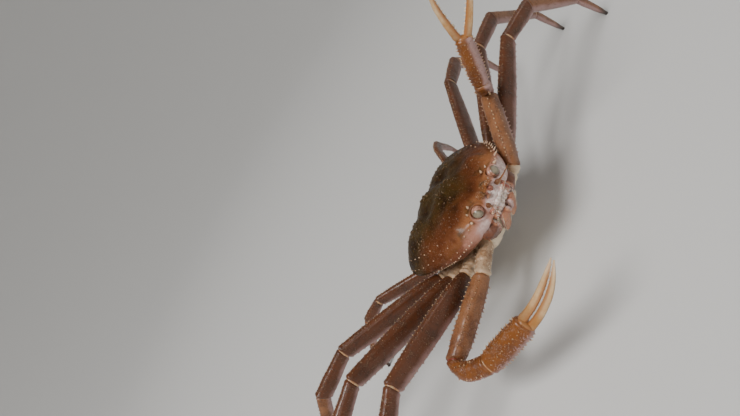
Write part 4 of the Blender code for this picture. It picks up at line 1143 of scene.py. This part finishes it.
def build_arm(name, base, facet, joints, claw, shares, warmth, grit, seed):
    """Four pieces and two fingers, with spines, grains, teeth and joint skin. The hip's spines
    and grains are joined to its skin."""
    draw = np.random.default_rng(seed)
    points = [base] + [stand_up(p) for p in joints]
    runs = [unit(b - a) for a, b in zip(points[:-1], points[1:])]
    enter, leave = unit(runs[1] + runs[2]), unit(runs[2] + runs[3])
    along = runs[3]
    planes = [facet, unit(runs[0] + runs[1]), unit(runs[1] + enter), unit(leave + along), along]
    opening = turn_up(claw["opens"])
    opening = unit(opening - (opening @ along) * along)
    spines, skins = [], []
    for i, (piece, stations) in enumerate(ARM_PIECES.items()):
        at = crowded(70)
        size = profile(stations, at) * shares[i]
        up = opening if piece in ("palm", "carpus") else (0, 0, 1)
        curve = straight(points[i], points[i + 1], at)
        if piece == "carpus":
            curve = bent(points[i], points[i + 1], enter, leave, at)
        limb = Limb(curve, up, size * ARM_TALL[i], size * ARM_WIDE[i])
        skin = limb.skin(planes[i], planes[i + 1], 44, seed=seed * 7 + i, rough=0.16,
                         above=lambda c, s: 0.5 + 0.5 * c + warmth, **ARM_STYLES[piece])
        spiny = [limb.row(draw, *row) for row in ARM_ROWS[piece]]
        spiny.append(limb.grains(draw, round(ARM_GRAINS[piece] * grit), 0.5))
        if piece == "hip":
            skin = joined([skin, *spiny])
        else:
            spines += spiny
        make_piece(f"{name}_{piece}_skin", skin, ARM_LOOKS[piece], "limb", f"{name}_{piece}")
        skins.append(joint_skin(limb, False, planes[i]).painted(face=float(piece == "carpus")))
    skins.append(joint_skin(limb, True, planes[4], 0.8).painted(tip=1.0))
    make_piece(f"{name}_spines", joined(spines), LIMB, "limb")
    make_piece(f"{name}_joints", joined(skins), SKIN, "underside")
    for side, part in ((1, "finger"), (-1, "fixed_finger")):
        limb = finger(points[4], along, opening, side, claw)
        skin = limb.skin(along if side > 0 else None, None, 36, 0.3, (side > 0, 0), seed + side,
                         rough=0.05, crease=0.45, above=lambda c, s: ramp(0.5 - side * 0.5 * c))
        teeth = limb.row(draw, 0.5 if side > 0 else 0.0, TOOTH_COUNT, FIRST_TOOTH, LAST_TOOTH,
                         claw["teeth"], TOOTH_RADIUS, BEAD)
        nodes = [f"{name}_finger"] if side > 0 else []
        make_piece(f"{name}_{part}_horn", joined([skin, teeth]), HORN, "claw", *nodes)


for word, side in SIDES.items():
    facet, base = facet_and_base(side, 0)
    build_arm(f"arm_{word}", base, facet, *ARMS[word], 50 + side)

# %% [markdown]
# The head is a cluster of small parts round the mouth. Two blunt horns make the beak. Under
# them lie the folded inner feelers in their pockets, and the thin outer feelers beside the
# eyes. A knobbly ridge roofs the mouth, and two long jointed plates close it like doors. Each
# is a loft or a rounded polygon, small enough to shape by a handful of named sizes.

# %% Sizes of the head
HORN_PATH = [(4.3, -46.5, 4.2), (4.6, -51, 3.6), (5.2, -57, 3.7), (5.7, -61.8, 3.8)]
HORN_SIZE = [(0, 3.4, 2.2), (0.35, 3.1, 2.2), (0.7, 1.9, 1.5), (0.92, 0.9, 0.8), (1, 0.3, 0.3)]
BROW = [(-13.5, -52, -8), (-9, -54.0, -8.6), (0, -54.4, -9.0), (9, -54.0, -8.6), (13.5, -52, -8)]
BROW_RADIUS = 1.9
ROOF = [(-12.5, -47.5, -13.8), (-9, -50.5, -13.2), (0, -51.2, -13.0), (9, -50.5, -13.2),
        (12.5, -47.5, -13.8)]
ROOF_RADIUS = 3.3
# The wall beside the mouth, level by level: height, front, outer side, back.
FLANK = [(-4, -44, 26.5, -35.3), (-11, -47.5, 29, -37.3), (-18, -48.5, 28, -36.5), (-28, -37.5, 20, -31.6)]
FLANK_INSIDE, FLANK_FOOT = 13.0, -34.2
FLANK_SWELL = [(0, 0.8), (0.2, 0.98), (0.55, 1.06), (0.85, 0.95), (1, 0.6)]
ANTENNA_ROOT, ANTENNA_LENGTH = (9.5, -54.3, -3.5), 21.0
ANTENNA_LEAN, ANTENNA_SWEEP = (0.2, -0.9, 0.05), (4, 0, 3)
ANTENNA_RADIUS = [(0, 1.9), (0.15, 1.6), (0.2, 0.9), (1, 0.3)]
MOUTH_TOP, MOUTH_FOOT, MOUTH_HALF = (-47, -17), (-27, -34.5), 12.6
MOUTHPART_ABOVE, MOUTHPART_LENGTH, MOUTHPART_THICK, MOUTHPART_OFF = 2.6, 25.0, 2.2, 6.4
MOUTHPART = [(0, 2.8, 0.6), (0.08, 4.6, 1.0), (0.22, 5.6, 1.3), (0.36, 4.9, 0.8), (0.44, 5.6, 1.1),
             (0.7, 5.4, 1), (1, 4.4, 0.8)]
PALP = [(3.2, 3.0, 1.6), (3.4, 1.0, 4.6), (2.4, 5.5, 5.4), (1.9, 10.5, 4.6)]
PALP_RADIUS = [1.9, 2.1, 1.7, 0.8]
print("mouth doors:", MOUTHPART_LENGTH, "mm long")


# %% Tools for small parts

def smooth_path(points, count):
    """A curve through a few points: each coordinate is a monotone cubic of the point's number."""
    points = np.asarray(points, float)
    at = np.linspace(0, len(points) - 1, count)
    return np.stack([profile(np.c_[np.arange(len(points)), column], at) for column in points.T], axis=-1)


def rounded(outline, rounds=3):
    """Rounds a polygon, or a stack of them, by cutting every corner at a quarter, again and again."""
    for _ in range(rounds):
        after = np.roll(outline, -1, axis=-2)
        outline = np.stack([0.75 * outline + 0.25 * after, 0.25 * outline + 0.75 * after], axis=-2)
        outline = outline.reshape(*outline.shape[:-3], -1, outline.shape[-1])
    return outline


def body_limb(path, up, tall, wide, roundness=2.3):
    """A Limb whose path and up are given in the body frame."""
    return Limb(stand_up(path), turn_up(up), tall, wide, roundness)


def stacked(rings, count):
    """More rings between the given ones: each point runs up its own monotone cubic."""
    rows = np.arange(len(rings))
    at = crowded(count, 0.5) * (len(rings) - 1)
    flat = rings.reshape(len(rings), -1)
    return np.stack([profile(np.c_[rows, column], at) for column in flat.T], axis=-1).reshape(count, -1, 3)


def sprinkle(draw, grid, count, size):
    """Low grains on points drawn from a standing grid. Each stands along the cross product of
    the grid's two slopes, turned away from the middle of its ring."""
    rows, sides = grid.shape[:2]
    i, j = draw.integers(1, rows - 1, count), draw.integers(0, sides, count)
    slopes = grid[i + 1, j] - grid[i - 1, j], grid[i, (j + 1) % sides] - grid[i, j - 1]
    out = np.cross(*slopes)
    out = out * np.sign((out * (grid[i, j] - grid[i].mean(1))).sum(1))[:, None]
    radius = size * draw.uniform(0.6, 1.2, count)
    return spikes(grid[i, j], out, radius * 0.8, radius, BEAD)


# %% Beak, cheeks and outer feelers
draw = np.random.default_rng(31)
for word, mirror in MIRROR.items():
    share = crowded(40)
    wide, tall = profiles(HORN_SIZE, share)
    horn = body_limb(smooth_path(HORN_PATH * mirror, 40), (0, 0, 1), tall, wide)
    warts = horn.grains(draw, 60, 0.4, 0.1, 0.9)
    beak = joined([horn.skin(sides=32, rims=(0, 0)), warts])
    make_piece(f"beak_{word}", beak.painted(along=0.95, above=1.0), SHELL, "shell")

    levels = np.array([[(FLANK_INSIDE, front, z), (outer - 6, front + 0.6, z), (outer, front + 4, z),
                        (outer, back, z), (FLANK_INSIDE, FLANK_FOOT, z)]
                       for z, front, outer, back in FLANK], float)
    flank = stacked(rounded(levels, 4), 40) * mirror
    middle = flank.mean(axis=1, keepdims=True)
    flank = middle + (flank - middle) * profile(FLANK_SWELL, np.linspace(0, 1, 40))[:, None, None]
    flank = flank + 0.15 * ripple(flank[..., :1] / 20, flank[..., 2:] / 20, 5)
    # The face value falls towards the cheek's outer and rear sides, under the shell's wall, where the finish
    # darkens it: partly colour, partly painted shade.
    inner = ramp(1 - (np.abs(flank[..., 0]) - FLANK_INSIDE) / 7) * ramp((-flank[..., 1] - 34) / 8)
    cheek = tube(stand_up(flank), above=0.5, along=0.5, face=inner)
    make_piece(f"cheek_{word}", joined([cheek, sprinkle(draw, stand_up(flank), 160, 0.4)]), FACE, "shell")

    share = crowded(90)
    path = (ANTENNA_ROOT * mirror + np.outer(share, ANTENNA_LEAN * mirror) * ANTENNA_LENGTH
            + np.outer(share ** 2, ANTENNA_SWEEP * mirror))
    girth = profile(ANTENNA_RADIUS, share) * (1 + 0.07 * np.cos(share * 240))
    feeler = body_limb(path, (0, 0, 1), girth, girth, 2)
    make_piece(f"antenna_{word}_skin", feeler.skin(turn_up((0, -1.0, 0)), None, 16, 0.2, (0, 0), rough=0),
               FEELER, "feeler", f"antenna_{word}")

# %% Ridge and roof of the mouth
for name, roll, radius, count in (("mouth_ridge", BROW, BROW_RADIUS, 120),
                                  ("mouth_roof", ROOF, ROOF_RADIUS, 260)):
    girth = radius * (0.9 + 0.15 * ripple(np.linspace(0, 1, 60), 0, 8, 9, 14))
    limb = body_limb(smooth_path(roll, 60), (0, 0, 1), girth, girth)
    ridge = joined([limb.skin(sides=24, rims=(0, 0), rough=0.3), limb.grains(draw, count, 0.5)])
    face = 0.25 + 0.65 * np.sin(math.pi * ridge.values["along"])
    make_piece(name, ridge.painted(face=face), FACE, "shell")

# %% Inner feelers
FEELER_FOLD = [(3.2, -53.2, -1.6), (3.6, -56.2, -0.4), (2.6, -56.8, 1.2), (1.6, -55.4, 0.2),
               (2.4, -56.3, -2.2)]
FEELER_GIRTH = [(0, 1.5), (0.4, 1.3), (0.5, 0.8), (0.9, 0.5), (1, 0.25)]
for word, mirror in MIRROR.items():
    girth = profile(FEELER_GIRTH, np.linspace(0, 1, 50))
    fold = body_limb(smooth_path(FEELER_FOLD * mirror, 50), (0.3, 0.2, 1), girth, girth, 2)
    skin = fold.skin(sides=16, rims=(0, 0), rough=0.05)
    make_piece(f"inner_feeler_{word}", skin.painted(face=0.35), FACE, "feeler")

# %% Mouth doors
slope = unit((0, MOUTH_FOOT[0] - MOUTH_TOP[0], MOUTH_FOOT[1] - MOUTH_TOP[1]))
out = np.array([0, slope[2], -slope[1]])
origin = np.array([0, MOUTH_TOP[0], MOUTH_TOP[1]]) - slope * MOUTHPART_ABOVE
for word, side in SIDES.items():
    top = origin + np.array([side * MOUTHPART_OFF, 0, 0]) + out * (MOUTHPART_THICK + GAP)
    share = crowded(70, 0.7)
    wide, thick = profiles(MOUTHPART, share)
    path = straight(top, top + slope * MOUTHPART_LENGTH, share)
    path = path + np.outer(np.maximum(thick - 1, 0) * MOUTHPART_THICK, out)
    door = body_limb(path, out, thick * MOUTHPART_THICK, wide, 2.4)
    across, down, forward = np.array(PALP).T
    palp_path = origin + np.outer(side * across, [1, 0, 0]) + np.outer(down, slope) + np.outer(forward, out)
    girth = profile(np.c_[np.arange(4), PALP_RADIUS], np.linspace(0, 3, 50))
    palp = body_limb(smooth_path(palp_path, 50), (side, 0.1, 0.1), girth, girth, 2.2)
    pieces = [door.skin(sides=40, rims=(0, 0), crease=0.2), door.grains(draw, 110, 0.3),
              palp.skin(sides=24, rims=(0, 0)), palp.grains(draw, 40, 0.28)]
    hairs = [door.row(draw, edge, 60, 0.05, 0.98, 1.5, 0.1, SPINE, 4) for edge in (0.2, 0.8)]
    pieces = [joined(pieces), joined(hairs).painted(tip=1.0)]
    make_piece(f"mouth_door_{word}", joined(pieces), DOOR, "underside", f"maxilliped_{word}")

# %% [markdown]
# A crab's eye is a knob on a short stalk, glassy on the side that looks out. A sphere is a
# function of two angles, and here it is drawn in a little in a ring behind the glass. The value
# "above" is how squarely a point faces the way the eye looks, and the finish turns it into
# stalk, dark rim and grey-green glass with a painted sheen in its middle. Each eye of a crab
# moves alone, so each looks its own way.

# %% Eyes
STALK_LENGTH, STALK_RADIUS = 5.0, 2.0
STALK_TURN = (-0.8, 0.55, -0.2)
EYE_WAIST = [(0.09, 0.1, 0.14)]
EYE_LOOKS = {"left": (0.35, -0.9, -0.1), "right": (0.75, -0.55, -0.2)}
for word, mirror in MIRROR.items():
    polar, turn = np.linspace(0.05, math.pi - 0.05, 40)[:, None], np.arange(56)[None] / 56 * 2 * math.pi
    sphere = np.stack([np.sin(polar) * np.cos(turn), np.sin(polar) * np.sin(turn),
                       np.cos(polar) + 0 * turn], axis=-1)
    faces_out = sphere @ unit(EYE_LOOKS[word] * mirror)
    centre = EYE * mirror
    ball = centre + sphere * (EYE_RADIUS * (1 - bells(faces_out, EYE_WAIST)))[..., None]
    size = np.full(12, STALK_RADIUS)
    path = straight(centre, centre + unit(STALK_TURN * mirror) * STALK_LENGTH, np.linspace(0, 1, 12))
    stalk = body_limb(path, (0, 0, 1), size, size, 2)
    pieces = [tube(stand_up(ball), above=faces_out, along=0.5),
              stalk.skin(sides=20, rims=(0, 0), above=lambda c, s: 0 * c)]
    make_piece(f"eye_{word}_ball", joined(pieces), GLASS, "eye", f"eye_{word}")

# %% [markdown]
# Underneath, the breast is a cream shield of plates, one for each limb, with a furrow down the
# middle in which the tail flap lies. The flap is a loft that starts behind the shell and folds
# forward under the body. Its segments arch a little, and the seams between them are narrow dips
# in the loft's thickness. These parts show in low views, so they get real edges.

# %% Sizes underneath
TRUNK_TOP, TRUNK_SIDE, TRUNK_FLOOR, TRUNK_WAIST, TRUNK_REAR = -14.2, -31.0, -34.5, -24.0, 44.0
FLOOR_SHARE, FLOOR_INSET = 0.875, 5.0
STERNUM_FURROW, STERNUM_INSET, STERNUM_RISE, STERNUM_SINK, STERNUM_FAN = 14.2, 0.7, 1.0, 1.5, 0.8
# The tail flap's stations: y, z, half the width, half the thickness.
TAIL = [(58.8, -1.5, 12, 1.4), (59.1, -7, 13.6, 1.8), (56.6, -15, 14.6, 2.0), (52.6, -25, 15, 2.1),
        (49.0, -33, 13.8, 2.1), (42, -36.9, 12.4, 2.1), (29, -37.1, 10.2, 2.1), (12, -37.0, 7.4, 2.0),
        (-12, -36.95, 3.6, 1.5)]
SEAM_DEPTH, SEAM_WIDTH = 1.1, 0.07
SEGMENT_ARCH, ARCH_POWER = 0.5, 0.6
print("tail flap:", 2 * max(half for _, _, half, _ in TAIL), "mm wide")


# %% Breast

def trunk_rings():
    """Outlines of the trunk level by level: the mouth field slopes in at the front and the
    limbs' facets make the sides."""
    corners = facet_chain()[1]
    rings = []
    levels = [(z, 1, TRUNK_REAR) for z in (TRUNK_TOP - GAP, TRUNK_WAIST, TRUNK_SIDE)]
    levels.append((TRUNK_FLOOR, FLOOR_SHARE, TRUNK_REAR - FLOOR_INSET))
    for z, size, rear in levels:
        share = (z - MOUTH_TOP[1]) / (MOUTH_FOOT[1] - MOUTH_TOP[1])
        front = MOUTH_TOP[0] + share * (MOUTH_FOOT[0] - MOUTH_TOP[0])
        half = [(MOUTH_HALF / 2, front), (MOUTH_HALF, front), (MOUTH_HALF, max(front + 1, FLANK_FOOT + 0.8))]
        half += [tuple(c * size) for c in corners] + [(12, rear), (4, rear + 1.5)]
        rings.append([(x, y, z) for x, y in half + [(-x, y) for x, y in half[::-1]]])
    return np.array(rings, float)


def breast_plates():
    """One rounded pad for each limb: a shrinking outline that rises to a domed top."""
    corners = [c * FLOOR_SHARE for c in facet_chain()[1]]
    made = []
    for fore, aft in zip(corners[:-1], corners[1:]):
        along = unit(aft - fore)
        outline = np.array([fore + along * STERNUM_INSET, aft - along * STERNUM_INSET,
                            (STERNUM_FURROW, aft[1] * STERNUM_FAN - STERNUM_INSET),
                            (STERNUM_FURROW, fore[1] * STERNUM_FAN + STERNUM_INSET)])
        middle = outline.mean(0)
        outline = rounded(outline, 4)
        lift = np.linspace(0, math.pi / 2, 9)[:-1]
        size = np.concatenate([[1.02], 0.6 + 0.42 * np.cos(lift), [0.3]])
        drop = np.concatenate([[-STERNUM_SINK], STERNUM_RISE * np.sin(lift), [STERNUM_RISE]])
        for side in (1, -1):
            flat = middle + (outline[None] - middle) * size[:, None, None]
            level = np.broadcast_to((TRUNK_FLOOR - drop)[:, None, None], (*flat.shape[:2], 1))
            plate = stand_up(np.concatenate([flat * [side, 1], level], axis=-1))
            made.append(tube(plate, above=0.2, along=0.5))
    return made


trunk = stand_up(stacked(rounded(trunk_rings(), 2), 36))
breast_grains = sprinkle(draw, trunk, 260, 0.35).painted(above=0.3)
plates = [tube(trunk, above=0.3, along=0.5), breast_grains, *breast_plates()]
make_piece("breast", joined(plates), BELLY, "underside", "thorax")

# %% Tail flap
at = np.linspace(0, len(TAIL) - 1, 200)
tail_path = smooth_path([(0, y, z) for y, z, _, _ in TAIL], 200)
wide, tall = (np.interp(at, np.arange(len(TAIL)), [row[i] for row in TAIL]) for i in (2, 3))
seam = bell(at - np.round(at), SEAM_WIDTH) * SEAM_DEPTH
arch = SEGMENT_ARCH * np.abs(np.sin(math.pi * at)) ** ARCH_POWER
back = np.clip(1.3 - at[:, None] / 4.2, 0.2, 1)
flap = body_limb(tail_path, (0, 0.9, -0.45), tall + arch - seam, wide - seam, 2.3)
flap_skin = flap.skin(sides=64, rims=(0, 0), rough=0.08, above=lambda c, s: back * (0.9 + 0.1 * c))
make_piece("tail_flap", joined([flap_skin, flap.grains(draw, 160, 0.35)]), BELLY, "underside", "pleon")

# %% [markdown]
# The stage is plain: a pale floor that rises into a pale wall all round, turned from one
# profile, so that every view has the same background. A broad soft light hangs over the crab
# like an overcast sky, weaker ones stand by the camera and at the crab's left, and the world
# gives the rest.

# %% Floor, wall and lights
FLOOR_REACH, WALL_BEND, WALL_HEIGHT = 1.2, 1.8, 2.4
WORLD_GREY, WORLD_STRENGTH = 0.9, 0.1
LIGHTS = {
    "sky_panel": ((-0.90, -0.45, 2.07), (0.9, 0.9), 55),
    "front_panel": ((-1.08, -2.16, 0.90), (0.9, 0.9), 10),
    "side_panel": ((2.16, -0.54, 1.62), (0.9, 0.9), 10),
}

FLAT_REACH = [0.001, 0.5, 1.2]
FLOOR_TURNS = 96

corner = np.linspace(0, math.pi / 2, 24)
reach = np.concatenate([FLAT_REACH, FLOOR_REACH + WALL_BEND * np.sin(corner), [FLOOR_REACH + WALL_BEND]])
height = np.concatenate([[0, 0, 0], WALL_BEND * (1 - np.cos(corner)), [WALL_HEIGHT]])
turn = np.arange(FLOOR_TURNS) / FLOOR_TURNS * 2 * math.pi
bowl = np.stack([reach[:, None] * np.cos(turn), reach[:, None] * np.sin(turn),
                 height[:, None] + 0 * turn], axis=-1)
ring, quads = ring_faces(*bowl.shape[:2])
floor_mesh = bpy.data.meshes.new("studio_floor")
floor_mesh.from_pydata(bowl.reshape(-1, 3).tolist(), [], quads[:, ::-1].tolist() + [ring[0].tolist()])
floor_mesh.shade_smooth()
paper = Finish("pale_paper")
floor_mesh.materials.append(paper.done(PAPER, 0.9, coat=0.0))
studio_floor = place_object("studio_floor", floor_mesh)
studio_floor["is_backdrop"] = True

for name, (at, size, power) in LIGHTS.items():
    data = bpy.data.lights.new(name, "AREA")
    data.shape, data.size, data.size_y, data.energy = "RECTANGLE", *size, power
    panel = place_object(name, data)
    back = unit(at)
    side = unit(np.cross([0, 0, 1], back))
    up = np.cross(back, side)
    panel.matrix_world = Matrix([[side[i], up[i], back[i], at[i]] for i in range(3)] + [[0, 0, 0, 1]])

world = bpy.data.worlds.new("studio")
world.use_nodes = True
background = world.node_tree.nodes["Background"]
background.inputs["Color"].default_value = (WORLD_GREY, WORLD_GREY, WORLD_GREY, 1)
background.inputs["Strength"].default_value = WORLD_STRENGTH
bpy.context.scene.world = world
print("lights:", ", ".join(LIGHTS))

# %% [markdown]
# Last, the faces of all the shown pieces are counted.

# %% Count of faces
faces = sum(len(piece.data.polygons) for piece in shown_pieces() if piece.type == "MESH")
print("faces in all:", faces)
